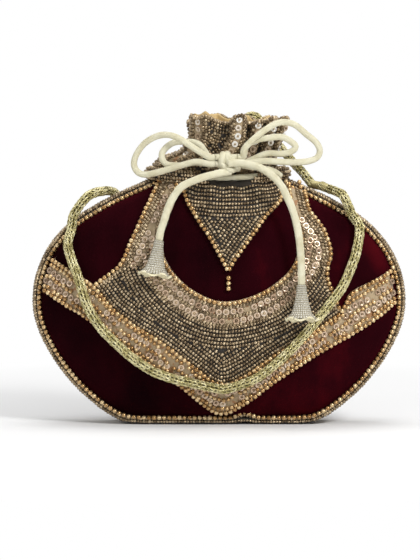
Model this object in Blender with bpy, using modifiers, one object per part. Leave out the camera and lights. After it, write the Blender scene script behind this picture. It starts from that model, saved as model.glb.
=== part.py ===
# Potli bag: a gathered evening pouch of velvet and bead-work with a cord bow and two handles.
# Metres, +Z up. The front faces -Y. The origin is the middle of the flat base.

import bisect
import math

import bmesh
import bpy
from mathutils import Matrix, Vector

# Driving sizes
body_width = 0.240
body_height = 0.1575
body_depth = 0.074
border_thickness = 0.0050
border_depth_base = 0.036
border_depth_side = 0.020
border_depth_top = 0.013
velvet_wall = 0.0015
lining_wall = 0.0010
frill_wall = 0.0016
applique_wall = 0.0012
frill_height = 0.0405
pleat_reach = 0.0065
handle_diameter = 0.0058
cord_diameter = 0.0040
knot_width = 0.0130
knot_thickness = 0.0114
tassel_height = 0.0225
tassel_width = 0.0210
drop_bead = 0.0030
gap = 0.0003
ring_slack = 0.0021
applique_lift = 0.0005
seam_clear_share = 0.965

half_width = body_width / 2
half_depth = body_depth / 2

# Half outline of the bag over its border, as shares of half_width and body_height
outline_shape = [
    (0.417, 0.000), (0.525, 0.012), (0.650, 0.068), (0.792, 0.166), (0.912, 0.290), (0.985, 0.415),
    (1.000, 0.520), (0.976, 0.622), (0.908, 0.730), (0.780, 0.835), (0.592, 0.922), (0.371, 1.000),
]
# Half depth of the stuffed body up its middle, as shares of height and half_depth
depth_shape = [
    (0.03, 0.40), (0.07, 0.60), (0.15, 0.80), (0.28, 0.94), (0.43, 1.00), (0.60, 0.97),
    (0.76, 0.86), (0.88, 0.70), (0.955, 0.54), (1.00, 0.37),
]
# Neck and frill sections: height over the body, left edge, right edge, half depth
neck_shape = [
    (0.0000, -0.0410, 0.0410, 0.0137),
    (0.0035, -0.0405, 0.0385, 0.0125),
    (0.0085, -0.0385, 0.0360, 0.0140),
    (0.0140, -0.0300, 0.0355, 0.0150),
    (0.0190, -0.0215, 0.0370, 0.0150),
    (0.0270, -0.0180, 0.0385, 0.0145),
    (0.0360, -0.0175, 0.0395, 0.0145),
    (0.0430, -0.0170, 0.0395, 0.0145),
]
# Pleats of the frill: direction in degrees, half angle in degrees, reach as a share, height as a share
frill_pleats = [
    (222, 25, 1.25, 1.00), (268, 13, 1.00, 1.02), (293, 11, 0.75, 0.95), (326, 15, 1.10, 0.97),
    (2, 15, 0.70, 0.88), (38, 17, 0.90, 0.96), (80, 18, 0.90, 0.95), (122, 18, 0.90, 0.98), (170, 20, 0.45, 0.90),
]
# Panel outlines on the front, as shares of half_width and body_height
band_upper = [
    (-0.905, 0.686), (-0.790, 0.630), (-0.660, 0.570), (-0.560, 0.482), (-0.430, 0.410),
    (-0.290, 0.343), (-0.150, 0.262), (0.000, 0.182), (0.130, 0.212), (0.300, 0.300),
    (0.480, 0.382), (0.640, 0.468), (0.700, 0.545), (0.830, 0.592), (0.925, 0.635),
]
band_lower = [
    (-0.930, 0.540), (-0.810, 0.482), (-0.690, 0.430), (-0.570, 0.360), (-0.430, 0.283),
    (-0.300, 0.215), (-0.160, 0.135), (0.000, 0.052), (0.150, 0.098), (0.310, 0.188),
    (0.470, 0.268), (0.620, 0.335), (0.750, 0.388), (0.860, 0.445), (0.945, 0.500),
]
yoke_inner = [
    (-0.200, 0.945), (-0.245, 0.885), (-0.290, 0.820), (-0.300, 0.740), (-0.278, 0.672),
    (-0.210, 0.602), (-0.110, 0.545), (0.020, 0.512), (0.170, 0.532), (0.300, 0.585),
    (0.390, 0.655), (0.425, 0.740), (0.410, 0.825), (0.360, 0.900), (0.320, 0.935),
]
yoke_left_side = [
    (-0.320, 0.965), (-0.378, 0.900), (-0.425, 0.830), (-0.480, 0.735), (-0.530, 0.660), (-0.655, 0.585),
]
yoke_right_side = [
    (0.640, 0.486), (0.580, 0.610), (0.600, 0.705), (0.560, 0.800), (0.470, 0.870), (0.430, 0.930),
]
triangle_left = [
    (-0.165, 0.950), (-0.178, 0.920), (-0.130, 0.845), (-0.060, 0.770), (-0.010, 0.705), (0.035, 0.640),
]
triangle_right = [
    (0.300, 0.950), (0.322, 0.915), (0.255, 0.850), (0.180, 0.770), (0.115, 0.705), (0.062, 0.640),
]
drop_top = (0.050, 0.606)

# Front handle over the front panel: shares of half_width and body_height
handle_front_run = [
    (-0.775, 0.855), (-0.790, 0.795), (-0.785, 0.725), (-0.768, 0.668), (-0.738, 0.610),
    (-0.688, 0.492), (-0.616, 0.405), (-0.530, 0.340), (-0.448, 0.286), (-0.347, 0.236), (-0.247, 0.208),
    (-0.145, 0.190), (-0.032, 0.172), (0.045, 0.168), (0.188, 0.207), (0.300, 0.269), (0.403, 0.344),
    (0.489, 0.418), (0.567, 0.490), (0.640, 0.562), (0.688, 0.640), (0.716, 0.705), (0.728, 0.787),
    (0.712, 0.853),
]
# Back handle from the right shoulder, up behind the frill, and down the back: free points
handle_back_rise = [
    (0.0600, 0.0165, 0.1530), (0.0545, 0.0185, 0.1600), (0.0470, 0.0215, 0.1680), (0.0385, 0.0245, 0.1780),
    (0.0300, 0.0250, 0.1900), (0.0225, 0.0270, 0.1965), (0.0150, 0.0300, 0.1925), (0.0110, 0.0322, 0.1810),
    (0.0080, 0.0325, 0.1680), (0.0055, 0.0312, 0.1540),
]
handle_back_run = [
    (0.025, 0.890), (0.000, 0.800), (-0.035, 0.700), (-0.080, 0.580), (-0.160, 0.470), (-0.270, 0.440),
    (-0.380, 0.490), (-0.470, 0.590), (-0.530, 0.700), (-0.560, 0.800), (-0.555, 0.870),
]
# Bow loops: free points in metres between the two places where each one leaves the knot
loop_left_outer = [
    (-0.0165, -0.0260, 0.1783), (-0.0250, -0.0250, 0.1838), (-0.0325, -0.0230, 0.1863),
    (-0.0400, -0.0205, 0.1853), (-0.0475, -0.0185, 0.1808), (-0.0525, -0.0175, 0.1743),
    (-0.0545, -0.0175, 0.1678), (-0.0525, -0.0185, 0.1628), (-0.0480, -0.0200, 0.1608),
    (-0.0420, -0.0215, 0.1616), (-0.0340, -0.0230, 0.1638), (-0.0245, -0.0245, 0.1668),
    (-0.0145, -0.0255, 0.1693),
]
loop_left_inner = [
    (-0.0130, -0.0205, 0.1803), (-0.0215, -0.0185, 0.1818), (-0.0285, -0.0170, 0.1813),
    (-0.0335, -0.0165, 0.1783), (-0.0365, -0.0170, 0.1743), (-0.0360, -0.0180, 0.1698),
    (-0.0325, -0.0192, 0.1670), (-0.0250, -0.0195, 0.1666), (-0.0160, -0.0198, 0.1686),
]
loop_right_outer = [
    (0.0160, -0.0270, 0.1773), (0.0220, -0.0268, 0.1838), (0.0290, -0.0255, 0.1893),
    (0.0370, -0.0235, 0.1938), (0.0430, -0.0215, 0.1943), (0.0490, -0.0195, 0.1923),
    (0.0555, -0.0175, 0.1868), (0.0620, -0.0160, 0.1813), (0.0645, -0.0155, 0.1763),
    (0.0630, -0.0160, 0.1718), (0.0575, -0.0170, 0.1693), (0.0490, -0.0185, 0.1686),
    (0.0390, -0.0205, 0.1690), (0.0280, -0.0230, 0.1696),
]
loop_right_inner = [
    (0.0175, -0.0208, 0.1793), (0.0245, -0.0205, 0.1830), (0.0320, -0.0198, 0.1843),
    (0.0400, -0.0185, 0.1848), (0.0460, -0.0175, 0.1818), (0.0490, -0.0170, 0.1786),
    (0.0465, -0.0172, 0.1756), (0.0400, -0.0180, 0.1740), (0.0300, -0.0190, 0.1740),
]
# Tails: free points from the knot down to the tassel
tail_left = [
    (0.0075, -0.0280, 0.1632), (0.0010, -0.0305, 0.1624), (-0.0080, -0.0330, 0.1603),
    (-0.0170, -0.0350, 0.1573), (-0.0245, -0.0355, 0.1533), (-0.0293, -0.0365, 0.1468),
    (-0.0325, -0.0380, 0.1403), (-0.0350, -0.0395, 0.1323), (-0.0372, -0.0408, 0.1258), (-0.0382, -0.0420, 0.1198),
]
tail_right = [
    (0.0055, -0.0309, 0.1682), (0.0115, -0.0313, 0.1688), (0.0180, -0.0325, 0.1682), (0.0245, -0.0335, 0.1665),
    (0.0305, -0.0350, 0.1633), (0.0360, -0.0355, 0.1588), (0.0400, -0.0362, 0.1538),
    (0.0430, -0.0370, 0.1478), (0.0460, -0.0380, 0.1413), (0.0487, -0.0393, 0.1328),
    (0.0505, -0.0410, 0.1238), (0.0516, -0.0425, 0.1148), (0.0522, -0.0437, 0.1058), (0.0524, -0.0450, 0.0918),
]
knot_centre = Vector((0.0045, -0.0232, 0.1700))
strand_spread = 0.0022

# How finely the curved pieces are divided
outline_steps = 22
panel_columns = 20
frill_columns = 56
frill_rows = 6
band_steps = 40
band_rows = 3

scene_objects = list(bpy.data.objects)
for old_object in scene_objects:
    bpy.data.objects.remove(old_object, do_unlink=True)
bag_collection = bpy.data.collections.new("potli_bag")
bpy.context.scene.collection.children.link(bag_collection)


# Materials
def make_material(name, colour, roughness, metallic=0.0):
    material = bpy.data.materials.new(name)
    material.use_nodes = True
    shader = material.node_tree.nodes["Principled BSDF"]
    shader.inputs["Base Color"].default_value = (*colour, 1.0)
    shader.inputs["Roughness"].default_value = roughness
    shader.inputs["Metallic"].default_value = metallic
    return material


velvet = make_material("maroon_velvet", (0.060, 0.004, 0.010), 0.85)
seed_beads = make_material("bronze_seed_beads", (0.16, 0.11, 0.06), 0.35, 0.8)
gold_beads = make_material("gold_beads", (0.55, 0.33, 0.13), 0.28, 0.9)
tissue = make_material("beige_tissue", (0.48, 0.38, 0.24), 0.55, 0.2)
satin_cord = make_material("cream_satin", (0.78, 0.74, 0.54), 0.45)
knit_cord = make_material("gold_knit", (0.50, 0.46, 0.22), 0.40, 0.5)
cream_lining = make_material("cream_lining", (0.68, 0.52, 0.26), 0.60)
silver_weave = make_material("silver_weave", (0.72, 0.69, 0.60), 0.35, 0.4)


# Smooth curves through hand-chosen points
def smooth_points(points, count):
    """Even points along a Catmull-Rom curve through the given points."""
    vectors = [Vector(point) for point in points]
    padded = [2 * vectors[0] - vectors[1]] + vectors + [2 * vectors[-1] - vectors[-2]]
    pieces = 12
    dense = []
    for index in range(len(vectors) - 1):
        before, start, end, after = padded[index:index + 4]
        for piece in range(pieces):
            t = piece / pieces
            dense.append(0.5 * ((2 * start) + (end - before) * t
                                + (2 * before - 5 * start + 4 * end - after) * t ** 2
                                + (3 * start - before - 3 * end + after) * t ** 3))
    dense.append(vectors[-1])
    lengths = [0.0]
    for first, second in zip(dense, dense[1:]):
        lengths.append(lengths[-1] + (second - first).length)
    result = []
    for index in range(count):
        wanted = lengths[-1] * index / (count - 1)
        place = min(max(bisect.bisect_right(lengths, wanted) - 1, 0), len(dense) - 2)
        span = lengths[place + 1] - lengths[place]
        share = (wanted - lengths[place]) / span if span else 0.0
        result.append(dense[place].lerp(dense[place + 1], share))
    return result


def read_table(table, key, column):
    """Straight-line reading of one column of a table sorted by its first column."""
    keys = [row[0] for row in table]
    place = min(max(bisect.bisect_right(keys, key) - 1, 0), len(table) - 2)
    low, high = table[place], table[place + 1]
    share = min(max((key - low[0]) / (high[0] - low[0]), 0.0), 1.0)
    return low[column] + (high[column] - low[column]) * share


# Body form
def on_body(shape):
    return [(x * half_width, z * body_height) for x, z in shape]


outer_edge = smooth_points(on_body(outline_shape), outline_steps)
border_depth_table = [
    (0.0, border_depth_base / 2), (0.28 * body_height, border_depth_side / 2 + 0.002),
    (0.60 * body_height, border_depth_side / 2 - 0.001), (body_height, border_depth_top / 2),
]


def edge_normal(edge, index):
    before = edge[max(index - 1, 0)]
    after = edge[min(index + 1, len(edge) - 1)]
    along = (after - before).normalized()
    if index == 0:
        along = Vector((1.0, 0.0))
    return Vector((along.y, -along.x))


inner_edge = [point - edge_normal(outer_edge, index) * (border_thickness + gap)
              for index, point in enumerate(outer_edge)]
neck_foot = Vector((neck_shape[0][2], body_height - gap))
panel_edge = inner_edge + [neck_foot]
width_table = sorted((point.y, point.x) for point in panel_edge)
depth_table = [(point.x, point.y) for point in smooth_points(
    [(z * body_height, d * half_depth) for z, d in depth_shape], 40)]


def seam_half_depth(z):
    """Where the velvet meets the border, measured from the middle plane."""
    return 0.88 * read_table(border_depth_table, z, 1) - velvet_wall


def front_y(x, z):
    """Smooth outer face of the front panel: the depth at x, z."""
    reach = read_table(width_table, z, 1)
    across = min(abs(x) / reach, 0.9999)
    seam = seam_half_depth(z)
    middle = max(read_table(depth_table, z, 1), seam)
    return -(seam + (middle - seam) * (1 - across ** 2) ** 0.62)


def front_normal(x, z):
    step = 0.0005
    slope_x = (front_y(x + step, z) - front_y(x - step, z)) / (2 * step)
    slope_z = (front_y(x, z + step) - front_y(x, z - step)) / (2 * step)
    return Vector((slope_x, -1.0, slope_z)).normalized()


def front_point(x, z, lift):
    return Vector((x, front_y(x, z), z)) + front_normal(x, z) * lift


# Object helpers
def add_object(name, mesh, material):
    mesh.name = name
    piece = bpy.data.objects.new(name, mesh)
    piece.data.materials.clear()
    piece.data.materials.append(material)
    bag_collection.objects.link(piece)
    return piece


def grid_mesh(rows, closed_across=False):
    """A skin of quads through rows of points."""
    form = bmesh.new()
    made = [[form.verts.new(point) for point in row] for row in rows]
    columns = len(rows[0])
    across = columns if closed_across else columns - 1
    for low, high in zip(made, made[1:]):
        for index in range(across):
            after = (index + 1) % columns
            form.faces.new((low[index], low[after], high[after], high[index]))
    mesh = bpy.data.meshes.new("skin")
    form.to_mesh(mesh)
    form.free()
    mesh.shade_smooth()
    return mesh


def add_wall(piece, thickness, offset):
    wall = piece.modifiers.new("wall", "SOLIDIFY")
    wall.thickness = thickness
    wall.offset = offset
    return piece


def loft_solid(name, rings, material):
    """A closed solid through rings of points, capped at both ends."""
    form = bmesh.new()
    made = [[form.verts.new(point) for point in ring] for ring in rings]
    count = len(rings[0])
    for low, high in zip(made, made[1:]):
        for index in range(count):
            after = (index + 1) % count
            form.faces.new((low[index], low[after], high[after], high[index]))
    form.faces.new(list(reversed(made[0])))
    form.faces.new(made[-1])
    bmesh.ops.recalc_face_normals(form, faces=form.faces)
    mesh = bpy.data.meshes.new(name)
    form.to_mesh(mesh)
    form.free()
    mesh.shade_smooth()
    return add_object(name, mesh, material)


def add_tube(name, points, diameter, material, closed=False):
    """A cord: a round curve on straight spans, with filled ends."""
    curve = bpy.data.curves.new(name, "CURVE")
    curve.dimensions = "3D"
    curve.bevel_depth = diameter / 2
    curve.bevel_resolution = 2
    curve.use_fill_caps = not closed
    spline = curve.splines.new("POLY")
    spline.points.add(len(points) - 1)
    for place, point in zip(spline.points, points):
        place.co = (*point, 1.0)
    spline.use_cyclic_u = closed
    cord = bpy.data.objects.new(name, curve)
    cord.data.materials.append(material)
    bag_collection.objects.link(cord)
    return cord


# Velvet panels: domed skins from the seam line to the foot of the neck
def panel_rows(columns, stations, inset, side):
    rows = []
    for point in stations:
        row = []
        for column in range(columns + 1):
            across = math.sin(math.pi / 2 * (2 * column / columns - 1))
            x = across * point.x
            middle = max(read_table(depth_table, point.y, 1), seam_half_depth(point.y))
            swell = math.cos(math.pi / 2 * (2 * column / columns - 1)) ** 1.24
            y = seam_half_depth(point.y) + (middle - seam_half_depth(point.y)) * swell
            row.append(Vector((x, side * y, point.y)))
        rows.append(row)
    if inset:
        rows = inset_rows(rows, inset, side)
    return rows


def inset_rows(rows, inset, side, closed=False):
    moved = []
    for row_index, row in enumerate(rows):
        below = rows[max(row_index - 1, 0)]
        above = rows[min(row_index + 1, len(rows) - 1)]
        new_row = []
        for index, point in enumerate(row):
            if closed:
                along = row[(index + 1) % len(row)] - row[index - 1]
            else:
                along = row[min(index + 1, len(row) - 1)] - row[max(index - 1, 0)]
            up = above[index] - below[index]
            normal = along.cross(up).normalized() * -side
            new_row.append(point - normal * inset)
        moved.append(new_row)
    return moved


def make_panels():
    front = add_object("front_panel", grid_mesh(panel_rows(panel_columns, panel_edge, 0.0, -1)), velvet)
    add_wall(front, velvet_wall, -1.0)
    back_rows = panel_rows(panel_columns * 3 // 4, inner_edge[::2] + panel_edge[-2:], 0.0, 1)
    back = add_object("back_panel", grid_mesh([list(reversed(row)) for row in back_rows]), velvet)
    add_wall(back, velvet_wall, -1.0)


# Lining pouch: filled, drawn shut at the neck, behind the velvet and inside the border
def make_pouch():
    stations = inner_edge[::3] + [neck_foot]
    columns = panel_columns // 2
    inset = velvet_wall + 5 * gap
    front = panel_rows(columns, stations, inset, -1)
    back = panel_rows(columns, stations, inset, 1)
    rings = [first + list(reversed(second)) for first, second in zip(front, back)]
    for share in (0.25, 1.0):
        height = share * mouth_floor
        ring = []
        for index in range(2 * (columns + 1)):
            ring.append(neck_ring_point(index, columns, height, frill_wall + lining_wall + 4 * gap))
        rings.append(ring)
    return loft_solid("lining_pouch", rings, cream_lining)


# Neck and frill: sections from a table, pushed out in pleats that deepen towards the rim
mouth_floor = 0.009
facing_foot = mouth_floor + 0.0040
pleat_start = 0.006


def neck_section(angle, height):
    left = read_table(neck_shape, height, 1)
    right = read_table(neck_shape, height, 2)
    depth = read_table(neck_shape, height, 3)
    middle = (left + right) / 2
    return Vector((middle + (right - left) / 2 * math.cos(angle), depth * math.sin(angle), body_height + height))


def neck_ring_point(index, columns, height, inset):
    half = columns + 1
    if index < half:
        angle = math.pi + math.pi * index / columns
    else:
        angle = math.pi * (index - half) / columns
    point = neck_section(angle, height)
    middle = (read_table(neck_shape, height, 1) + read_table(neck_shape, height, 2)) / 2
    half_span = (read_table(neck_shape, height, 2) - read_table(neck_shape, height, 1)) / 2 - inset
    depth = read_table(neck_shape, height, 3) - inset
    side_depth = 0.001 if index < half else -0.001
    point.x = middle + half_span * math.cos(angle)
    point.y = depth * math.sin(angle) - side_depth
    return point


def pleat_lift(angle, share):
    """How far the pleats push out at an angle, and how high the rim stands there."""
    push = 0.0
    rim = 0.93
    for direction, half_angle, reach, height in frill_pleats:
        away = (math.degrees(angle) - direction + 180) % 360 - 180
        bump = math.exp(-(away / half_angle) ** 4)
        push += reach * bump
        rim += (height - 0.93) * bump
    return pleat_reach * push * share, rim


def neck_outward(angle, height):
    step = 0.01
    along = (neck_section(angle + step, height) - neck_section(angle - step, height)).normalized()
    return Vector((along.y, -along.x, 0.0))


def frill_point(angle, height):
    opening = max((height - pleat_start) / (frill_height - pleat_start), 0.0) ** 0.7
    push = pleat_lift(angle, opening)[0]
    return neck_section(angle, height) + neck_outward(angle, height) * push


def frill_skin(low, rim_drop, rows, inset):
    """Rows of the pleated skin from a height up to the rim, moved in along its own normals."""
    result = []
    for row in range(rows + 1):
        line = []
        for column in range(frill_columns):
            angle = 2 * math.pi * column / frill_columns
            top = frill_height * pleat_lift(angle, 1.0)[1] - rim_drop
            line.append(frill_point(angle, low + (top - low) * row / rows))
        result.append(line)
    return inset_rows(result, inset, -1, closed=True) if inset else result


def make_frill():
    outside = grid_mesh(frill_skin(gap, 0.0, frill_rows, 0.0), closed_across=True)
    frill = add_object("neck_frill", outside, seed_beads)
    add_wall(frill, frill_wall, -1.0)
    facing_rows = frill_skin(facing_foot, 2 * gap, frill_rows - 2, frill_wall + 5 * gap)
    facing = grid_mesh(facing_rows, closed_across=True)
    lining = add_object("frill_lining", facing, cream_lining)
    add_wall(lining, lining_wall, -1.0)


# Beaded border: one strip round the seam that is also the flat base
def border_section(point, normal):
    half = read_table(border_depth_table, point.y, 1)
    profile = [
        (1.00, -0.88), (0.60, -1.00), (0.22, -0.93), (0.00, -0.70),
        (0.00, 0.70), (0.22, 0.93), (0.60, 1.00), (1.00, 0.88),
    ]
    ring = []
    for depth_share, side_share in profile:
        place = point - normal * border_thickness * depth_share
        ring.append(Vector((place.x, side_share * half, place.y)))
    return ring


def make_border():
    right = [border_section(point, edge_normal(outer_edge, index)) for index, point in enumerate(outer_edge)]
    left = [[Vector((-point.x, point.y, point.z)) for point in ring] for ring in right]
    return loft_solid("beaded_border", list(reversed(left)) + right, seed_beads)


# Bead-work panels sewn on the front
def make_applique(name, first, second, rows, material):
    """A sewn-on panel between two edges, laid on the velvet and kept clear of the border."""
    skin = []
    for row in range(rows + 1):
        line = []
        for low, high in zip(first, second):
            place = low.lerp(high, row / rows)
            reach = read_table(width_table, place.y, 1) * seam_clear_share
            line.append(front_point(min(max(place.x, -reach), reach), place.y, applique_lift))
        skin.append(line)
    piece = add_object(name, grid_mesh(skin), material)
    return add_wall(piece, applique_wall, 1.0)


def joined_edges(sections):
    """One edge from several smooth stretches that meet at corners."""
    joined = []
    for points, steps in sections:
        stretch = smooth_points(points, steps + 1)
        joined += stretch if not joined else stretch[1:]
    return joined


def make_appliques():
    lower = smooth_points(on_body(band_lower), band_steps + 1)
    upper = smooth_points(on_body(band_upper), band_steps + 1)
    make_applique("v_band", lower, upper, band_rows, tissue)
    side_steps = band_steps // 4
    middle_steps = band_steps * 3 // 4
    seam_gap = 3 * gap / body_height
    along_band = [(x, z + seam_gap) for x, z in band_upper if yoke_left_side[-1][0] < x < yoke_right_side[0][0]]
    outer = joined_edges([
        (on_body(yoke_left_side), side_steps),
        (on_body([yoke_left_side[-1]] + along_band + [yoke_right_side[0]]), middle_steps),
        (on_body(yoke_right_side), side_steps),
    ])
    inner = joined_edges([
        (on_body(yoke_inner[:5]), side_steps),
        (on_body(yoke_inner[4:11]), middle_steps),
        (on_body(yoke_inner[10:]), side_steps),
    ])
    make_applique("yoke_collar", outer, inner, band_rows, seed_beads)
    left = smooth_points(on_body(triangle_left), 11)
    right = smooth_points(on_body(triangle_right), 11)
    make_applique("centre_triangle", left, right, 6, seed_beads)


def make_bead_drop():
    """Three beads in a short hanging row under the triangle's point."""
    radius = drop_bead / 2
    profile = bmesh.new()
    count = 3
    steps = 6
    places = []
    for bead in range(count):
        for step in range(steps + 1):
            turn = math.pi * step / steps
            if bead and step == 0:
                continue
            if bead < count - 1 and step == steps:
                continue
            width = max(radius * math.sin(turn), radius * 0.3)
            if (bead == 0 and step == 0) or (bead == count - 1 and step == steps):
                width = 0.0
            places.append((width, -bead * drop_bead * 0.94 + radius * math.cos(turn)))
    verts = [profile.verts.new((x, 0.0, z)) for x, z in places]
    for first, second in zip(verts, verts[1:]):
        profile.edges.new((first, second))
    mesh = bpy.data.meshes.new("bead_drop")
    profile.to_mesh(mesh)
    profile.free()
    drop = add_object("bead_drop", mesh, gold_beads)
    turn = drop.modifiers.new("turn", "SCREW")
    turn.steps = 10
    turn.render_steps = 10
    turn.use_merge_vertices = True
    turn.merge_threshold = 0.00001
    x = drop_top[0] * half_width
    z = drop_top[1] * body_height
    drop.location = front_point(x, z, radius + gap)
    low = front_point(x, z - count * drop_bead, radius + gap)
    lean = drop.location - low
    drop.rotation_euler = (-math.atan2(lean.y, lean.z), 0.0, 0.0)
    return drop


# Handles: knitted cord
def over_surface(shape, lift, side):
    points = []
    for x, z in on_body(shape):
        point = front_point(x, z, lift)
        points.append(Vector((point.x, -side * point.y, point.z)))
    return points


def handle_count(points):
    length = sum((second - first).length for first, second in zip(points, points[1:]))
    return int(length / (2.0 * handle_diameter))


def make_handles():
    lift = handle_diameter / 2 + applique_wall + 4 * gap + 0.0003
    shoulder_left = [Vector((-0.062, 0.0172, 0.1405)), Vector((-0.068, 0.0105, 0.1478)),
                     Vector((-0.0745, 0.0, 0.1492)), Vector((-0.084, -0.0105, 0.1465))]
    shoulder_right = [Vector((0.0800, -0.0125, 0.1465)), Vector((0.0755, -0.0035, 0.1490)),
                      Vector((0.0715, 0.0045, 0.1502)), Vector((0.0670, 0.0085, 0.1518))]
    front = shoulder_left + over_surface(handle_front_run, lift, -1) + shoulder_right
    add_tube("front_handle", smooth_points(front, handle_count(front)), handle_diameter, knit_cord)
    back_run = over_surface(handle_back_run, handle_diameter / 2 + 2 * gap, 1)
    back = [Vector(point) for point in handle_back_rise] + back_run
    add_tube("back_handle", smooth_points(back, handle_count(back)), handle_diameter, knit_cord)


# Drawstring: the ring round the neck, the knot, four loops and two tails
def make_drawstring():
    ring_height = 0.0035
    ring = []
    ring_points = 24
    clear = cord_diameter / 2 + ring_slack
    for index in range(ring_points):
        angle = 2 * math.pi * index / ring_points
        ring.append(neck_section(angle, ring_height) + neck_outward(angle, ring_height) * clear)
    add_tube("neck_ring", ring, cord_diameter, satin_cord, closed=True)
    make_knot()
    sides = {
        "loop_left_outer": (loop_left_outer, -1, -1), "loop_left_inner": (loop_left_inner, -1, 1),
        "loop_right_outer": (loop_right_outer, 1, -1), "loop_right_inner": (loop_right_inner, 1, 1),
    }
    for name, (points, side, layer) in sides.items():
        lead = Vector((side * cord_diameter, 0.0, 0.0))
        start = knot_exit(side, layer, 1)
        end = knot_exit(side, layer, -1)
        route = [start, start + lead] + points + [end + lead, end]
        inner = smooth_points(route[1:-1], len(points) + 2)
        add_tube(name, [start] + inner + [end], cord_diameter, satin_cord)
    for name, points in (("tail_left", tail_left), ("tail_right", tail_right)):
        add_tube(name, smooth_points(points, len(points)), cord_diameter, satin_cord)


def knot_exit(side, layer, level):
    """Where a strand of the bow leaves the knot's flat end."""
    return knot_centre + Vector((side * (knot_width / 2 + 1.5 * gap), layer * strand_spread, level * strand_spread))


def make_knot():
    """The wrap of cord that holds the four loops: a short thick roll across the neck."""
    form = bmesh.new()
    turn = Matrix.Rotation(math.pi / 2, 4, "Y")
    bmesh.ops.create_cone(form, cap_ends=True, segments=16, radius1=knot_thickness / 2,
                          radius2=knot_thickness / 2, depth=knot_width, matrix=turn)
    mesh = bpy.data.meshes.new("bow_knot")
    form.to_mesh(mesh)
    form.free()
    knot = add_object("bow_knot", mesh, satin_cord)
    edge = knot.modifiers.new("round", "BEVEL")
    edge.width = knot_thickness * 0.12
    edge.segments = 2
    edge.limit_method = "ANGLE"
    knot.location = knot_centre
    return knot


# Tassels: a woven cone with a flared skirt at the end of each tail
def make_tassel(name, tail, lean):
    top = Vector(tail[-1])
    half = tassel_width / 2
    neck = cord_diameter / 2 + 0.0012
    profile = [
        (0.0, 0.0), (neck * 0.9, 0.0), (neck, -0.0010), (neck + 0.0006, -tassel_height * 0.25),
        (half * 0.55, -tassel_height * 0.6), (half * 0.72, -tassel_height * 0.82),
        (half, -tassel_height), (half * 0.93, -tassel_height - 0.0006), (half * 0.6, -tassel_height * 0.86),
        (0.0, -tassel_height * 0.84),
    ]
    form = bmesh.new()
    verts = [form.verts.new((x, 0.0, z)) for x, z in profile]
    for first, second in zip(verts, verts[1:]):
        form.edges.new((first, second))
    mesh = bpy.data.meshes.new(name)
    form.to_mesh(mesh)
    form.free()
    tassel = add_object(name, mesh, silver_weave)
    turn = tassel.modifiers.new("turn", "SCREW")
    turn.steps = 18
    turn.render_steps = 18
    turn.use_merge_vertices = True
    turn.merge_threshold = 0.00001
    tassel.location = top - Vector((0.0, 0.0, gap * 1.5))
    tassel.rotation_euler = lean
    tassel.scale = (1.0, 0.66, 1.0)
    return tassel


make_panels()
make_pouch()
make_border()
make_frill()
make_appliques()
make_bead_drop()
make_handles()
make_drawstring()
make_tassel("tassel_left", tail_left, (math.radians(-8), math.radians(8), 0.0))
make_tassel("tassel_right", tail_right, (math.radians(-8), 0.0, 0.0))
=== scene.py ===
import bisect
import math

import bmesh
import bpy
from mathutils import Matrix, Vector, noise


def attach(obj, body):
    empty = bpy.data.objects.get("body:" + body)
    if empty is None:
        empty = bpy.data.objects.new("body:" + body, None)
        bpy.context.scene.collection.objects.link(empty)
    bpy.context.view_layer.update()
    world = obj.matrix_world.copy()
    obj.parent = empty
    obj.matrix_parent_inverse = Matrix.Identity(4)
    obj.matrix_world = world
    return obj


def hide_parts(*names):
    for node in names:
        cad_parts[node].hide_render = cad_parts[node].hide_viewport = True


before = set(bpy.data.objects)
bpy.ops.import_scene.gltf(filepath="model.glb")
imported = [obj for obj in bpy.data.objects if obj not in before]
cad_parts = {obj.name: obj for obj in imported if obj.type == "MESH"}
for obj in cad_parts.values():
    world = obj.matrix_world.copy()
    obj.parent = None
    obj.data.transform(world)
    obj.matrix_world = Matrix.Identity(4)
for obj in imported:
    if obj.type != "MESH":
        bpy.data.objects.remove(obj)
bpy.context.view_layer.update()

print("frame loaded")

# The bag's own form, in metres: the same curves that its solids were built from
bag = {
    "halfWidth": 0.120, "height": 0.1575, "halfDepth": 0.037,
    "border": 0.0050, "gap": 0.0003, "velvet": 0.0015,
    "borderHalfDepth": [(0.0, 0.0175), (0.28, 0.0098), (0.60, 0.0077), (1.0, 0.0060)],
    "appliqueLift": 0.0005, "appliqueWall": 0.0012, "seamClearShare": 0.972,
}
outlineShape = [
    (0.417, 0.000), (0.525, 0.012), (0.650, 0.068), (0.792, 0.166), (0.912, 0.290), (0.985, 0.415),
    (1.000, 0.520), (0.976, 0.622), (0.908, 0.730), (0.780, 0.835), (0.592, 0.922), (0.371, 1.000),
]
depthShape = [
    (0.03, 0.40), (0.07, 0.60), (0.15, 0.80), (0.28, 0.94), (0.43, 1.00), (0.60, 0.97),
    (0.76, 0.86), (0.88, 0.70), (0.955, 0.54), (1.00, 0.37),
]
neckShape = [
    (0.0000, -0.0410, 0.0410, 0.0137), (0.0035, -0.0405, 0.0385, 0.0128), (0.0085, -0.0432, 0.0365, 0.0140),
    (0.0138, -0.0372, 0.0358, 0.0150), (0.0178, -0.0250, 0.0365, 0.0150), (0.0270, -0.0180, 0.0385, 0.0145),
    (0.0360, -0.0175, 0.0395, 0.0145), (0.0430, -0.0170, 0.0395, 0.0145),
]
frillPleats = [
    (222, 27, 1.05, 1.00), (273, 11, 0.90, 1.02), (299, 8, 0.65, 0.93), (321, 9, 0.70, 0.96),
    (347, 12, 0.80, 0.99), (15, 12, 0.60, 0.88), (42, 15, 0.75, 0.96), (80, 17, 0.75, 0.95),
    (120, 17, 0.75, 0.98), (165, 20, 0.40, 0.90),
]
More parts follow.
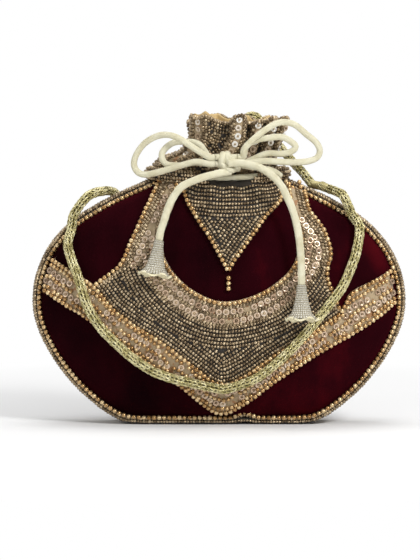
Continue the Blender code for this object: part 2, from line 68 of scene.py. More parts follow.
bandUpper = [
    (-0.905, 0.686), (-0.790, 0.630), (-0.660, 0.570), (-0.560, 0.482), (-0.430, 0.410),
    (-0.290, 0.343), (-0.150, 0.262), (0.000, 0.182), (0.130, 0.212), (0.300, 0.300),
    (0.480, 0.382), (0.640, 0.468), (0.700, 0.545), (0.830, 0.592), (0.925, 0.635),
]
bandLower = [
    (-0.930, 0.540), (-0.810, 0.482), (-0.690, 0.430), (-0.570, 0.360), (-0.430, 0.283),
    (-0.300, 0.215), (-0.160, 0.135), (0.000, 0.052), (0.150, 0.098), (0.310, 0.188),
    (0.470, 0.268), (0.620, 0.335), (0.750, 0.388), (0.860, 0.445), (0.945, 0.500),
]
yokeInner = [
    (-0.206, 0.990), (-0.245, 0.885), (-0.290, 0.820), (-0.300, 0.740), (-0.278, 0.672),
    (-0.210, 0.602), (-0.110, 0.545), (0.020, 0.512), (0.170, 0.532), (0.300, 0.585),
    (0.390, 0.655), (0.425, 0.740), (0.410, 0.825), (0.376, 0.900), (0.346, 0.988),
]
yokeLeftSide = [
    (-0.318, 0.992), (-0.378, 0.900), (-0.425, 0.830), (-0.480, 0.735), (-0.530, 0.660), (-0.655, 0.585),
]
yokeRightSide = [
    (0.640, 0.486), (0.580, 0.610), (0.600, 0.705), (0.560, 0.800), (0.485, 0.880), (0.440, 0.988),
]
triangleLeft = [
    (-0.178, 0.992), (-0.190, 0.938), (-0.133, 0.850), (-0.060, 0.770), (-0.010, 0.705), (0.035, 0.640),
]
triangleRight = [
    (0.318, 0.992), (0.338, 0.918), (0.258, 0.850), (0.180, 0.770), (0.115, 0.705), (0.062, 0.640),
]
dropTop = (0.050, 0.606)

# Routes of the cords, point by point as they lie
handleFrontRun = [
    (-0.775, 0.855), (-0.790, 0.795), (-0.785, 0.725), (-0.768, 0.668), (-0.738, 0.610),
    (-0.688, 0.492), (-0.616, 0.405), (-0.530, 0.340), (-0.448, 0.286), (-0.347, 0.236), (-0.247, 0.208),
    (-0.145, 0.190), (-0.032, 0.172), (0.045, 0.168), (0.188, 0.207), (0.300, 0.269), (0.403, 0.344),
    (0.489, 0.418), (0.567, 0.490), (0.640, 0.562), (0.688, 0.640), (0.716, 0.705), (0.728, 0.787),
    (0.712, 0.853),
]
handleFrontLeft = [(-0.062, 0.0172, 0.1405), (-0.068, 0.0105, 0.1478), (-0.0745, 0.0, 0.1492), (-0.084, -0.0105, 0.1465)]
handleFrontRight = [(0.0800, -0.0125, 0.1465), (0.0755, -0.0035, 0.1490), (0.0715, 0.0045, 0.1502), (0.0670, 0.0085, 0.1518)]
handleBackRise = [
    (0.0600, 0.0165, 0.1530), (0.0545, 0.0185, 0.1600), (0.0470, 0.0215, 0.1680), (0.0385, 0.0245, 0.1780),
    (0.0300, 0.0250, 0.1900), (0.0225, 0.0270, 0.1965), (0.0150, 0.0300, 0.1925), (0.0110, 0.0322, 0.1810),
    (0.0080, 0.0325, 0.1680), (0.0055, 0.0312, 0.1540),
]
handleBackRun = [
    (0.025, 0.890), (0.000, 0.800), (-0.035, 0.700), (-0.080, 0.580), (-0.160, 0.470), (-0.270, 0.440),
    (-0.380, 0.490), (-0.470, 0.590), (-0.530, 0.700), (-0.560, 0.800), (-0.555, 0.870),
]
loopLeftOuter = [
    (-0.0165, -0.0260, 0.1783), (-0.0250, -0.0250, 0.1838), (-0.0325, -0.0230, 0.1863),
    (-0.0400, -0.0205, 0.1853), (-0.0475, -0.0185, 0.1808), (-0.0525, -0.0175, 0.1743),
    (-0.0545, -0.0175, 0.1678), (-0.0525, -0.0185, 0.1628), (-0.0480, -0.0200, 0.1608),
    (-0.0420, -0.0215, 0.1616), (-0.0340, -0.0230, 0.1638), (-0.0245, -0.0245, 0.1668),
    (-0.0145, -0.0255, 0.1693),
]
loopLeftInner = [
    (-0.0130, -0.0205, 0.1803), (-0.0215, -0.0185, 0.1818), (-0.0285, -0.0170, 0.1813),
    (-0.0335, -0.0165, 0.1783), (-0.0365, -0.0170, 0.1743), (-0.0360, -0.0180, 0.1698),
    (-0.0325, -0.0192, 0.1670), (-0.0250, -0.0195, 0.1666), (-0.0160, -0.0198, 0.1686),
]
loopRightOuter = [
    (0.0160, -0.0270, 0.1773), (0.0220, -0.0268, 0.1838), (0.0290, -0.0255, 0.1893),
    (0.0370, -0.0235, 0.1938), (0.0430, -0.0215, 0.1943), (0.0490, -0.0195, 0.1923),
    (0.0555, -0.0175, 0.1868), (0.0620, -0.0160, 0.1813), (0.0645, -0.0155, 0.1763),
    (0.0630, -0.0160, 0.1718), (0.0575, -0.0170, 0.1693), (0.0490, -0.0185, 0.1686),
    (0.0390, -0.0205, 0.1690), (0.0280, -0.0230, 0.1696),
]
loopRightInner = [
    (0.0175, -0.0208, 0.1793), (0.0245, -0.0205, 0.1830), (0.0320, -0.0198, 0.1843),
    (0.0400, -0.0185, 0.1848), (0.0460, -0.0175, 0.1818), (0.0490, -0.0170, 0.1786),
    (0.0465, -0.0172, 0.1756), (0.0400, -0.0180, 0.1740), (0.0300, -0.0190, 0.1740),
]
tailLeft = [
    (0.0075, -0.0280, 0.1632), (0.0010, -0.0305, 0.1624), (-0.0080, -0.0330, 0.1603),
    (-0.0170, -0.0350, 0.1573), (-0.0245, -0.0355, 0.1533), (-0.0293, -0.0365, 0.1468),
    (-0.0325, -0.0380, 0.1403), (-0.0350, -0.0395, 0.1323), (-0.0372, -0.0408, 0.1258), (-0.0382, -0.0420, 0.1198),
]
tailRight = [
    (0.0055, -0.0309, 0.1682), (0.0115, -0.0313, 0.1688), (0.0180, -0.0325, 0.1682), (0.0245, -0.0335, 0.1665),
    (0.0305, -0.0350, 0.1633), (0.0360, -0.0355, 0.1588), (0.0400, -0.0362, 0.1538),
    (0.0430, -0.0370, 0.1478), (0.0460, -0.0380, 0.1413), (0.0487, -0.0393, 0.1328),
    (0.0505, -0.0410, 0.1238), (0.0516, -0.0425, 0.1148), (0.0522, -0.0437, 0.1058), (0.0524, -0.0450, 0.0918),
]
knot = {"centre": (0.0045, -0.0232, 0.1700), "width": 0.0130, "thick": 0.0114, "spread": 0.0022}


# Curves and tables
def smoothPoints(points, count):
    vectors = [Vector(point) for point in points]
    padded = [2 * vectors[0] - vectors[1]] + vectors + [2 * vectors[-1] - vectors[-2]]
    dense = []
    for index in range(len(vectors) - 1):
        before, start, end, after = padded[index:index + 4]
        for piece in range(16):
            t = piece / 16
            dense.append(0.5 * ((2 * start) + (end - before) * t
                                + (2 * before - 5 * start + 4 * end - after) * t ** 2
                                + (3 * start - before - 3 * end + after) * t ** 3))
    dense.append(vectors[-1])
    return evenPoints(dense, count)


def lineLengths(points):
    lengths = [0.0]
    for first, second in zip(points, points[1:]):
        lengths.append(lengths[-1] + (second - first).length)
    return lengths


def evenPoints(dense, count):
    lengths = lineLengths(dense)
    result = []
    for index in range(count):
        wanted = lengths[-1] * index / (count - 1)
        place = min(max(bisect.bisect_right(lengths, wanted) - 1, 0), len(dense) - 2)
        span = lengths[place + 1] - lengths[place]
        result.append(dense[place].lerp(dense[place + 1], (wanted - lengths[place]) / span if span else 0.0))
    return result


def evenStep(points, step):
    return evenPoints(points, max(int(lineLengths(points)[-1] / step), 1) + 1)


def readTable(table, key, column=1):
    low, high = table[0], table[1]
    for first, second in zip(table, table[1:]):
        low, high = first, second
        if key < second[0]:
            break
    share = min(max((key - low[0]) / (high[0] - low[0]), 0.0), 1.0)
    return low[column] + (high[column] - low[column]) * share


def smoothStep(low, high, value):
    t = min(max((value - low) / (high - low), 0.0), 1.0)
    return t * t * (3 - 2 * t)


def onBody(shape):
    return [(x * bag["halfWidth"], z * bag["height"]) for x, z in shape]


# Body form
outerEdge = smoothPoints(onBody(outlineShape), 90)


def edgeNormal(edge, index):
    along = (edge[min(index + 1, len(edge) - 1)] - edge[max(index - 1, 0)]).normalized()
    if index == 0:
        along = Vector((1.0, 0.0))
    return Vector((along.y, -along.x))


innerEdge = [point - edgeNormal(outerEdge, index) * (bag["border"] + bag["gap"])
             for index, point in enumerate(outerEdge)]
neckFoot = Vector((neckShape[0][2], bag["height"] - bag["gap"]))
panelEdge = innerEdge + [neckFoot]
gridStep = 0.0005
gridRows = int(bag["height"] / gridStep) + 8


def gridded(table):
    # A table read once on an even grid of heights, so that later readings are quick
    return [readTable(table, row * gridStep) for row in range(gridRows)]


widthGrid = gridded(sorted((point.y, point.x) for point in panelEdge))
depthGrid = gridded([(point.x, point.y) for point in smoothPoints(
    [(z * bag["height"], d * bag["halfDepth"]) for z, d in depthShape], 60)])
borderGrid = gridded([(z * bag["height"], d) for z, d in bag["borderHalfDepth"]])


def readGrid(grid, z):
    place = min(max(z / gridStep, 0.0), gridRows - 1.001)
    index = int(place)
    return grid[index] + (grid[index + 1] - grid[index]) * (place - index)


def seamHalfDepth(z):
    return 0.88 * readGrid(borderGrid, z) - bag["velvet"]


def frontY(x, z):
    across = min(abs(x) / readGrid(widthGrid, z), 0.9999)
    seam = seamHalfDepth(z)
    middle = max(readGrid(depthGrid, z), seam)
    return -(seam + (middle - seam) * (1 - across ** 2) ** 0.62)


def frontNormal(x, z):
    step = 0.0008
    slopeX = (frontY(x + step, z) - frontY(x - step, z)) / (2 * step)
    slopeZ = (frontY(x, z + step) - frontY(x, z - step)) / (2 * step)
    return Vector((slopeX, -1.0, slopeZ)).normalized()


relief = {"gather": 0.0011, "gatherFrom": 0.132, "gatherTo": 0.157, "folds": 9.0, "slack": 0.0013}
# Soft creases in the velvet: from x, z to x, z, how deep and how wide
creases = [
    (0.066, 0.142, 0.090, 0.112, 0.0020, 0.0060), (0.040, 0.128, 0.049, 0.100, 0.0011, 0.0045),
    (0.074, 0.128, 0.104, 0.122, 0.0013, 0.0050), (-0.074, 0.118, -0.060, 0.088, 0.0009, 0.0070),
    (-0.020, 0.120, -0.004, 0.092, 0.0008, 0.0050), (-0.080, 0.060, -0.046, 0.034, 0.0010, 0.0080),
    (0.060, 0.050, 0.082, 0.036, 0.0011, 0.0070),
]


def surfaceRelief(x, z):
    # Gathers that fan out from the neck, slack in the cloth lower down, and soft creases
    turn = math.atan2(x - 0.006, 0.190 - z)
    gather = smoothStep(relief["gatherFrom"], relief["gatherTo"], z)
    fold = math.sin(relief["folds"] * turn * 2 + 1.5 * noise.noise(Vector((x * 30, z * 30, 4.0))))
    edge = 1 - smoothStep(0.80, 0.97, abs(x) / readGrid(widthGrid, z))
    low = smoothStep(0.004, 0.035, z)
    slack = noise.noise(Vector((x * 26, z * 17, 1.0))) * edge * low
    dent = 0.0
    for x1, z1, x2, z2, depth, width in creases:
        start, span = Vector((x1, z1)), Vector((x2 - x1, z2 - z1))
        share = min(max((Vector((x, z)) - start).dot(span) / span.length_squared, 0.0), 1.0)
        away = (Vector((x, z)) - start - span * share).length / width
        if away < 3:
            dent += depth * math.exp(-away * away) * math.sin(math.pi * (0.12 + 0.76 * share))
    return relief["gather"] * gather * fold + relief["slack"] * slack - dent * edge


def frontPoint(x, z, lift):
    return Vector((x, frontY(x, z), z)) + frontNormal(x, z) * (lift + surfaceRelief(x, z))


def neckSection(angle, height):
    left = readTable(neckShape, height, 1)
    right = readTable(neckShape, height, 2)
    depth = readTable(neckShape, height, 3)
    return Vector(((left + right) / 2 + (right - left) / 2 * math.cos(angle), depth * math.sin(angle),
                   bag["height"] + height))


def neckOutward(angle, height):
    along = (neckSection(angle + 0.01, height) - neckSection(angle - 0.01, height)).normalized()
    return Vector((along.y, -along.x, 0.0))


frill = {"height": 0.0405, "reach": 0.0080, "wall": 0.0016, "pleatStart": 0.006, "restRim": 0.885,
         "valley": 0.0050, "uneven": 0.0019, "ragged": 0.055}


def pleatLift(angle):
    push, rim = 0.0, frill["restRim"]
    highest = 0.0
    for direction, halfAngle, reach, height in frillPleats:
        away = (math.degrees(angle) - direction + 180) % 360 - 180
        bump = math.exp(-(away / halfAngle) ** 4)
        push += reach * bump
        rim += (height - frill["restRim"]) * bump
        highest = max(highest, bump)
    rim += frill["ragged"] * noise.noise(Vector((math.cos(angle) * 3.6, math.sin(angle) * 3.6, 4.0)))
    return frill["reach"] * push - frill["valley"] * (1 - highest), min(rim, 1.03)


def frillPoint(angle, height):
    opening = max((height - frill["pleatStart"]) / (frill["height"] - frill["pleatStart"]), 0.0) ** 0.7
    bumps = noise.noise(Vector((math.cos(angle) * 3.1, math.sin(angle) * 3.1, height * 75)))
    reach = (pleatLift(angle)[0] + frill["uneven"] * bumps) * opening
    return neckSection(angle, height) + neckOutward(angle, height) * reach


# Mesh helpers
def addMesh(name, mesh, material):
    mesh.name = name
    piece = bpy.data.objects.new(name, mesh)
    if material:
        piece.data.materials.append(material)
    bpy.context.scene.collection.objects.link(piece)
    return piece


def gridMesh(rows, closedAcross=False, uvScale=None):
    form = bmesh.new()
    made = [[form.verts.new(point) for point in row] for row in rows]
    columns = len(rows[0])
    uv = form.loops.layers.uv.new("UVMap") if uvScale else None
    across = columns if closedAcross else columns - 1
    for rowIndex, (low, high) in enumerate(zip(made, made[1:])):
        for index in range(across):
            after = (index + 1) % columns
            face = form.faces.new((low[index], low[after], high[after], high[index]))
            if uv:
                corners = ((index, rowIndex), (index + 1, rowIndex), (index + 1, rowIndex + 1), (index, rowIndex + 1))
                for loop, corner in zip(face.loops, corners):
                    loop[uv].uv = (corner[0] / columns * uvScale[0], corner[1] / len(rows) * uvScale[1])
    mesh = bpy.data.meshes.new("skin")
    form.to_mesh(mesh)
    form.free()
    mesh.shade_smooth()
    return mesh


def settle(piece):
    # Applies every modifier, so that the piece is a plain mesh
    graph = bpy.context.evaluated_depsgraph_get()
    mesh = bpy.data.meshes.new_from_object(piece.evaluated_get(graph))
    piece.modifiers.clear()
    piece.data = mesh
    return piece


def addWall(piece, thickness, offset=-1.0):
    wall = piece.modifiers.new("wall", "SOLIDIFY")
    wall.thickness = thickness
    wall.offset = offset
    return settle(piece)


def frames(points, faceOn=False):
    # A tangent and a steady normal at each point of a path; faceOn turns its wide side to the front
    tangents = []
    for index in range(len(points)):
        tangents.append((points[min(index + 1, len(points) - 1)] - points[max(index - 1, 0)]).normalized())
    normal = tangents[0].orthogonal().normalized()
    normals = []
    for tangent in tangents:
        sideways = tangent.cross(Vector((0.0, 1.0, 0.0)))
        if faceOn and sideways.length > 0.3:
            normal = sideways if sideways.dot(normal) >= 0 else -sideways
        normal = (normal - tangent * normal.dot(tangent)).normalized()
        normals.append(normal)
    return tangents, normals


def sweepTube(name, points, radius, sides, material, flatten=1.0, radiusAt=None, faceOn=False):
    # A tube along points, capped, with a UV map that runs round it and along it
    tangents, normals = frames(points, faceOn)
    lengths = lineLengths(points)
    form = bmesh.new()
    uv = form.loops.layers.uv.new("UVMap")
    rings = []
    for index, point in enumerate(points):
        side = tangents[index].cross(normals[index])
        scale = radiusAt(lengths[index] / lengths[-1]) if radiusAt else 1.0
        ring = []
        for step in range(sides):
            angle = 2 * math.pi * step / sides
            reach = normals[index] * math.cos(angle) + side * math.sin(angle) * flatten
            ring.append(form.verts.new(point + reach * radius * scale))
        rings.append(ring)
    for index, (low, high) in enumerate(zip(rings, rings[1:])):
        for step in range(sides):
            after = (step + 1) % sides
            face = form.faces.new((low[step], low[after], high[after], high[step]))
            marks = ((step, index), (step + 1, index), (step + 1, index + 1), (step, index + 1))
            for loop, mark in zip(face.loops, marks):
                loop[uv].uv = (mark[0] / sides, lengths[mark[1]] * 100)
    form.faces.new(list(reversed(rings[0])))
    form.faces.new(rings[-1])
    bmesh.ops.recalc_face_normals(form, faces=form.faces)
    mesh = bpy.data.meshes.new(name)
    form.to_mesh(mesh)
    form.free()
    mesh.shade_smooth()
    return addMesh(name, mesh, material)


def joinPieces(name, pieces):
    with bpy.context.temp_override(active_object=pieces[0], selected_editable_objects=pieces,
                                   selected_objects=pieces):
        bpy.ops.object.join()
    pieces[0].name = name
    pieces[0].data.name = name
    return pieces[0]


# Shader maths: one wrapped socket, so that a pattern is written as sums and products
class Signal:
    def __init__(self, tree, socket):
        self.tree = tree
        self.socket = socket

    def combine(self, operation, other=0.0, swapped=False):
        node = self.tree.nodes.new("ShaderNodeMath")
        node.operation = operation
        for slot, value in zip((1, 0) if swapped else (0, 1), (self, other)):
            if isinstance(value, Signal):
                self.tree.links.new(value.socket, node.inputs[slot])
            else:
                node.inputs[slot].default_value = value
        return Signal(self.tree, node.outputs[0])

    def __add__(self, other):
        return self.combine("ADD", other)

    def __radd__(self, other):
        return self.combine("ADD", other)

    def __sub__(self, other):
        return self.combine("SUBTRACT", other)

    def __rsub__(self, other):
        return self.combine("SUBTRACT", other, True)

    def __mul__(self, other):
        return self.combine("MULTIPLY", other)

    def __rmul__(self, other):
        return self.combine("MULTIPLY", other)

    def __gt__(self, other):
        return self.combine("GREATER_THAN", other)

    def sine(self):
        return self.combine("SINE")


class Finish:
    def __init__(self, name, **fixed):  # fixed: what is the same all over the surface
        self.material = bpy.data.materials.new(name)
        self.material.use_nodes = True
        self.tree = self.material.node_tree
        self.shader = self.tree.nodes["Principled BSDF"]
        for key, value in fixed.items():
            self.shader.inputs[key.replace("_", " ")].default_value = value

    def node(self, kind, settings=None, values=None, output=0):
        node = self.tree.nodes.new(kind)
        for key, value in (settings or {}).items():
            if key == "stops":
                ramp = node.color_ramp
                while len(ramp.elements) < len(value):
                    ramp.elements.new(0.5)
                for element, (position, colour) in zip(ramp.elements, value):
                    element.position = position
                    element.color = (*colour, 1.0)
            else:
                setattr(node, key, value)
        for key, value in (values or {}).items():
            socket = node.inputs[key]
            if isinstance(value, Signal):
                self.tree.links.new(value.socket, socket)
            elif socket.type == "RGBA":
                socket.default_value = (*value, 1.0)
            else:
                socket.default_value = value
        return Signal(self.tree, node.outputs[output])

    def noise(self, scale, detail=3.0):
        where = self.node("ShaderNodeTexCoord", output=3)
        return self.node("ShaderNodeTexNoise", None, {"Vector": where, "Scale": scale, "Detail": detail})

    def attribute(self, name):
        return self.node("ShaderNodeAttribute", {"attribute_name": name}, None, 2)

    def ramp(self, signal, stops):
        return self.node("ShaderNodeValToRGB", {"stops": stops}, {"Fac": signal})

    def mix(self, factor, first, second):
        return self.node("ShaderNodeMix", {"data_type": "RGBA"}, {0: factor, 6: first, 7: second}, 2)

    def parts(self, vector):
        first = self.node("ShaderNodeSeparateXYZ", None, {0: vector})
        return [Signal(self.tree, socket) for socket in first.socket.node.outputs]

    def axes(self):
        return self.parts(self.node("ShaderNodeTexCoord", output=3))

    def uv(self):
        return self.parts(self.node("ShaderNodeUVMap", {"uv_map": "UVMap"}))[:2]

    def drive(self, name, signal):
        self.tree.links.new(signal.socket, self.shader.inputs[name])
        return self

    def bump(self, height, strength, distance):
        bump = self.node("ShaderNodeBump", None, {"Height": height, "Strength": strength, "Distance": distance})
        return self.drive("Normal", bump)


fullTurn = 2 * math.pi


def makeVelvet():
    finish = Finish("maroonVelvet", Roughness=0.95, Sheen_Weight=0.16, Sheen_Roughness=0.40,
                    Sheen_Tint=(0.80, 0.03, 0.08, 1.0), Specular_IOR_Level=0.02)
    x, y, z = finish.axes()
    brushed = finish.noise(24.0, 4.0)
    streak = finish.node("ShaderNodeTexNoise", None, {
        "Vector": finish.node("ShaderNodeMapping", None, {
            "Vector": finish.node("ShaderNodeTexCoord", output=3), "Scale": (1.0, 1.0, 0.35)}),
        "Scale": 60.0, "Detail": 3.0})
    side = x * 3.4 + 0.42  # painted light: the colour grows brighter towards the right, where the key lamp falls
    shade = finish.ramp(brushed * 0.50 + streak * 0.26 + side * 0.34, [
        (0.36, (0.0050, 0.0006, 0.0014)), (0.60, (0.018, 0.0010, 0.0026)),
        (0.78, (0.058, 0.0020, 0.0044)), (0.96, (0.150, 0.0050, 0.0110)),
    ])
    finish.drive("Base Color", shade)
    pile = finish.noise(2600.0, 2.0)
    return finish.bump(pile, 0.5, 0.0004).material


def makeMetal(name, stops, roughness, spread, metallic):
    finish = Finish(name, Metallic=metallic)
    tint = finish.attribute("tint")
    mottle = finish.noise(900.0, 2.0)
    finish.drive("Base Color", finish.ramp(tint * 0.8 + mottle * 0.2, stops))
    finish.drive("Roughness", tint * spread + roughness)
    return finish.bump(mottle, 0.12, 0.0002).material


# Tissue colours: the orange-brown one, with its share, is painted shade, the amber tint that gold beads cast; the
# near-black one is painted shade where it shows in the frill's valleys
clothColours = {
    "light": (0.56, 0.44, 0.27), "dark": (0.30, 0.21, 0.115), "amberShade": (0.34, 0.145, 0.045), "amberShadeShare": 0.40,
    "under": (0.020, 0.014, 0.009),
}


def makeTissue(name, shared):
    # Beige tissue with orange-brown patches of painted shade, the amber tint that gold beads cast; where shared, a
    # near-black ground takes over outside it, painted shade in the frill's valleys
    finish = Finish(name, Roughness=0.5, Metallic=0.12, Sheen_Weight=0.2)
    x, y, z = finish.axes()
    weave = ((x + z) * 9000.0).sine() * ((x - z) * 9000.0).sine()
    patch = finish.noise(160.0, 3.0)
    base = finish.mix(patch, clothColours["dark"], clothColours["light"])
    # painted shade: orange-brown patches for the amber tint that the gold beads cast on the tissue
    mottle = (finish.noise(210.0, 2.0) > 1 - clothColours["amberShadeShare"]) * 0.75
    colour = finish.mix(mottle, base, clothColours["amberShade"])
    if shared:
        colour = finish.mix(finish.attribute("tissueShare"), clothColours["under"], colour)
    finish.drive("Base Color", colour)
    return finish.bump(weave * 0.5 + patch, 0.35, 0.0003).material


def makeSatin(name, shade, middle, light):
    finish = Finish(name, Roughness=0.40, Sheen_Weight=0.12)
    around, along = finish.uv()
    threads = ((around * 26.0 + along * 0.9) * fullTurn).sine()
    cross = ((around * 8.0 - along * 9.0) * fullTurn).sine()
    cloudy = finish.noise(140.0, 3.0)
    # painted light: the cloudy noise scatters the cord's shaded and lit tones over it at random
    finish.drive("Base Color", finish.ramp(cloudy * 0.8 + threads * 0.10 + 0.08, [
        (0.20, shade), (0.50, middle), (0.85, light)]))
    return finish.bump(threads * 0.6 + cross * 0.4, 0.45, 0.0003).material


def makeKnit():
    finish = Finish("goldKnit", Metallic=0.5)
    tint = finish.attribute("tint")
    x, y, z = finish.axes()
    ply = ((x * 0.7 + y + z * 1.3) * 7000.0).sine()
    # painted light: the ramp runs from a shaded tone through the thread's own tone to a highlight tone, mixed by stitch
    # at random and along the ply
    finish.drive("Base Color", finish.ramp(tint * 0.6 + ply * 0.14 + 0.26, [
        (0.12, (0.170, 0.138, 0.040)), (0.42, (0.560, 0.485, 0.195)), (0.82, (0.94, 0.87, 0.54))]))
    finish.drive("Roughness", tint * 0.12 + 0.30)
    return finish.bump(ply, 0.5, 0.0002).material


def makePlain(name, light, dark, roughness, metallic=0.0, scale=300.0):
    finish = Finish(name, Metallic=metallic)
    grain = finish.noise(scale, 4.0)
    finish.drive("Base Color", finish.mix(grain, dark, light))
    finish.drive("Roughness", grain * 0.2 + roughness)
    return finish.bump(grain, 0.25, 0.0003).material


def makeTasselWeave():
    finish = Finish("silverWeave", Metallic=0.2)
    around, along = finish.uv()
    rings = (along * fullTurn).sine()
    ribs = (around * fullTurn).sine()
    knots = (rings * 0.5 + 0.5) * (ribs * 0.5 + 0.5)
    finish.drive("Base Color", finish.ramp(knots, [
        (0.0, (0.26, 0.22, 0.14)), (0.22, (0.62, 0.58, 0.46)), (0.7, (0.84, 0.82, 0.74))]))
    finish.drive("Roughness", 0.5 - knots * 0.2)
    return finish.bump(knots, 0.8, 0.0008).material


velvet = makeVelvet()
seedMetal = makeMetal("bronzeSeeds", [
    (0.08, (0.135, 0.090, 0.048)), (0.35, (0.260, 0.188, 0.108)), (0.65, (0.400, 0.300, 0.180)),
    (0.92, (0.640, 0.510, 0.330))], 0.20, 0.10, 0.55)
goldMetal = makeMetal("goldBeads", [
    (0.10, (0.38, 0.21, 0.075)), (0.45, (0.62, 0.40, 0.18)), (0.88, (0.84, 0.64, 0.36))], 0.20, 0.12, 0.70)
sequinMetal = makeMetal("champagneSequins", [
    (0.10, (0.45, 0.30, 0.19)), (0.40, (0.62, 0.46, 0.33)), (0.88, (0.72, 0.57, 0.42)),
    (0.94, (0.93, 0.88, 0.80))], 0.22, 0.14, 0.5)
tissue = makeTissue("beigeTissue", False)
paleSequins = makeMetal("paleSequins", [
    (0.10, (0.50, 0.36, 0.24)), (0.40, (0.68, 0.54, 0.40)), (0.56, (0.86, 0.80, 0.70)),
    (0.66, (0.95, 0.92, 0.86))], 0.22, 0.14, 0.4)
yokeCloth = makeTissue("yokeCloth", True)
# near-black ground; where it is left bare below the neck ring it is painted shadow
darkGround = makePlain("darkThreadAndShadow", (0.030, 0.022, 0.014), (0.010, 0.007, 0.005), 0.6)
satin = makeSatin("creamSatin", (0.53, 0.47, 0.28), (0.70, 0.66, 0.47), (0.80, 0.77, 0.61))
knitGold = makeKnit()
knitCore = makePlain("knitCore", (0.170, 0.140, 0.055), (0.080, 0.065, 0.024), 0.6)
wrapThread = makePlain("wrapThread", (0.62, 0.55, 0.28), (0.40, 0.34, 0.15), 0.4, 0.3)
creamLining = makePlain("creamLining", (0.68, 0.51, 0.24), (0.48, 0.33, 0.14), 0.5, 0.0, 60.0)
silverWeave = makeTasselWeave()
tasselSatin = makePlain("tasselSatin", (0.80, 0.75, 0.54), (0.60, 0.53, 0.32), 0.42, 0.0, 120.0)
print("materials ready")

# Camera, floor and light
view = {"centre": (-0.0058, 0.0, 0.0918), "rise": 4.0, "distance": 3.0, "frameHeight": 0.3612, "sensor": 36.0}
studio = {
    "ambient": 0.42, "dim": 0.14,
    "lamps": [  # place, size, power
        ("keyLamp", (0.75, -0.95, 0.95), 0.45, 14.0),
        ("fillLamp", (-0.95, -0.80, 0.70), 0.55, 3.0),
        ("topLamp", (0.0, 0.10, 1.30), 0.90, 7.0),
    ],
}
cameraData = bpy.data.cameras.new("camera")
cameraData.lens = view["sensor"] * view["distance"] / view["frameHeight"]
cameraData.clip_end = 20.0
camera = bpy.data.objects.new("camera", cameraData)
bpy.context.scene.collection.objects.link(camera)
rise = math.radians(view["rise"])
camera.location = Vector(view["centre"]) + Vector((0.0, -math.cos(rise), math.sin(rise))) * view["distance"]
camera.rotation_euler = (math.pi / 2 - rise, 0.0, 0.0)
bpy.context.scene.camera = camera
bpy.context.scene.view_settings.view_transform = "Standard"

for lampName, place, size, power in studio["lamps"]:
    lampData = bpy.data.lights.new(lampName, "AREA")
    lampData.shape = "DISK"
    lampData.size = size
    lampData.energy = power
    lamp = bpy.data.objects.new(lampName, lampData)
    lamp.location = place
    lamp.rotation_euler = (Vector((0.0, 0.0, 0.09)) - Vector(place)).to_track_quat("-Z", "Y").to_euler()
    bpy.context.scene.collection.objects.link(lamp)


def makeWorld():
    # White to the camera, pale behind and dim in front to reflections, plain ambient to the rest
    world = bpy.data.worlds.new("studio")
    bpy.context.scene.world = world
    world.use_nodes = True
    tree = world.node_tree
    background = tree.nodes["Background"]
    path = tree.nodes.new("ShaderNodeLightPath")
    coords = tree.nodes.new("ShaderNodeTexCoord")
    split = tree.nodes.new("ShaderNodeSeparateXYZ")
    tree.links.new(coords.outputs["Generated"], split.inputs[0])
    behind = Signal(tree, split.outputs[1]) * 3.0 + 0.2
    clamp = tree.nodes.new("ShaderNodeClamp")
    tree.links.new(behind.socket, clamp.inputs[0])
    glossy = Signal(tree, path.outputs["Is Glossy Ray"]) + Signal(tree, path.outputs["Is Transmission Ray"])
    seen = Signal(tree, path.outputs["Is Camera Ray"])
    glossyLevel = (Signal(tree, clamp.outputs[0]) * (1.0 - studio["dim"]) + studio["dim"]) * glossy
    level = seen + glossyLevel + (1 - (seen + glossy)) * studio["ambient"]
    tree.links.new(level.socket, background.inputs["Strength"])
    background.inputs["Color"].default_value = (1.0, 1.0, 1.0, 1.0)


def makeFloor():
    bpy.ops.mesh.primitive_grid_add(x_subdivisions=8, y_subdivisions=8, size=8.0, location=(0.0, 0.0, -0.0002))
    floor = bpy.context.object
    floor.name = "studioFloor"
    finish = Finish("paleFloor", Roughness=0.9, Base_Color=(0.86, 0.86, 0.86, 1.0), Specular_IOR_Level=0.1)
    x, y, z = finish.axes()
    fade = finish.node("ShaderNodeClamp", None, {"Value": x * x * 9.0 + y * y * 5.0 - 0.06})
    seen = finish.node("ShaderNodeLightPath") * fade
    glow = finish.node("ShaderNodeEmission")
    blend = finish.node("ShaderNodeMixShader", None, {
        0: seen, 1: Signal(finish.tree, finish.shader.outputs[0]), 2: glow})
    finish.tree.links.new(blend.socket, finish.tree.nodes["Material Output"].inputs[0])
    floor.data.materials.append(finish.material)


makeWorld()
makeFloor()
print("camera and studio ready")


# Beads, sequins and stitches: one Geometry Nodes tree lays a small form along rows
def formObject(name, form):
    bmesh.ops.recalc_face_normals(form, faces=form.faces)
    mesh = bpy.data.meshes.new(name)
    form.to_mesh(mesh)
    form.free()
    mesh.shade_smooth()
    return addMesh(name, mesh, None)


def turnedForm(name, profile, sides):
    # A small form turned round X: profile is (along, radius) from end to end
    form = bmesh.new()
    rings = []
    for along, radius in profile:
        turns = [fullTurn * step / sides for step in range(sides)] if radius else [0.0]
        rings.append([form.verts.new((along, radius * math.cos(turn), radius * math.sin(turn))) for turn in turns])
    for low, high in zip(rings, rings[1:]):
        for step in range(sides):
            after = (step + 1) % sides
            if len(low) == 1:
                form.faces.new((low[0], high[after], high[step]))
            elif len(high) == 1:
                form.faces.new((low[step], low[after], high[0]))
            else:
                form.faces.new((low[step], low[after], high[after], high[step]))
    return formObject(name, form)


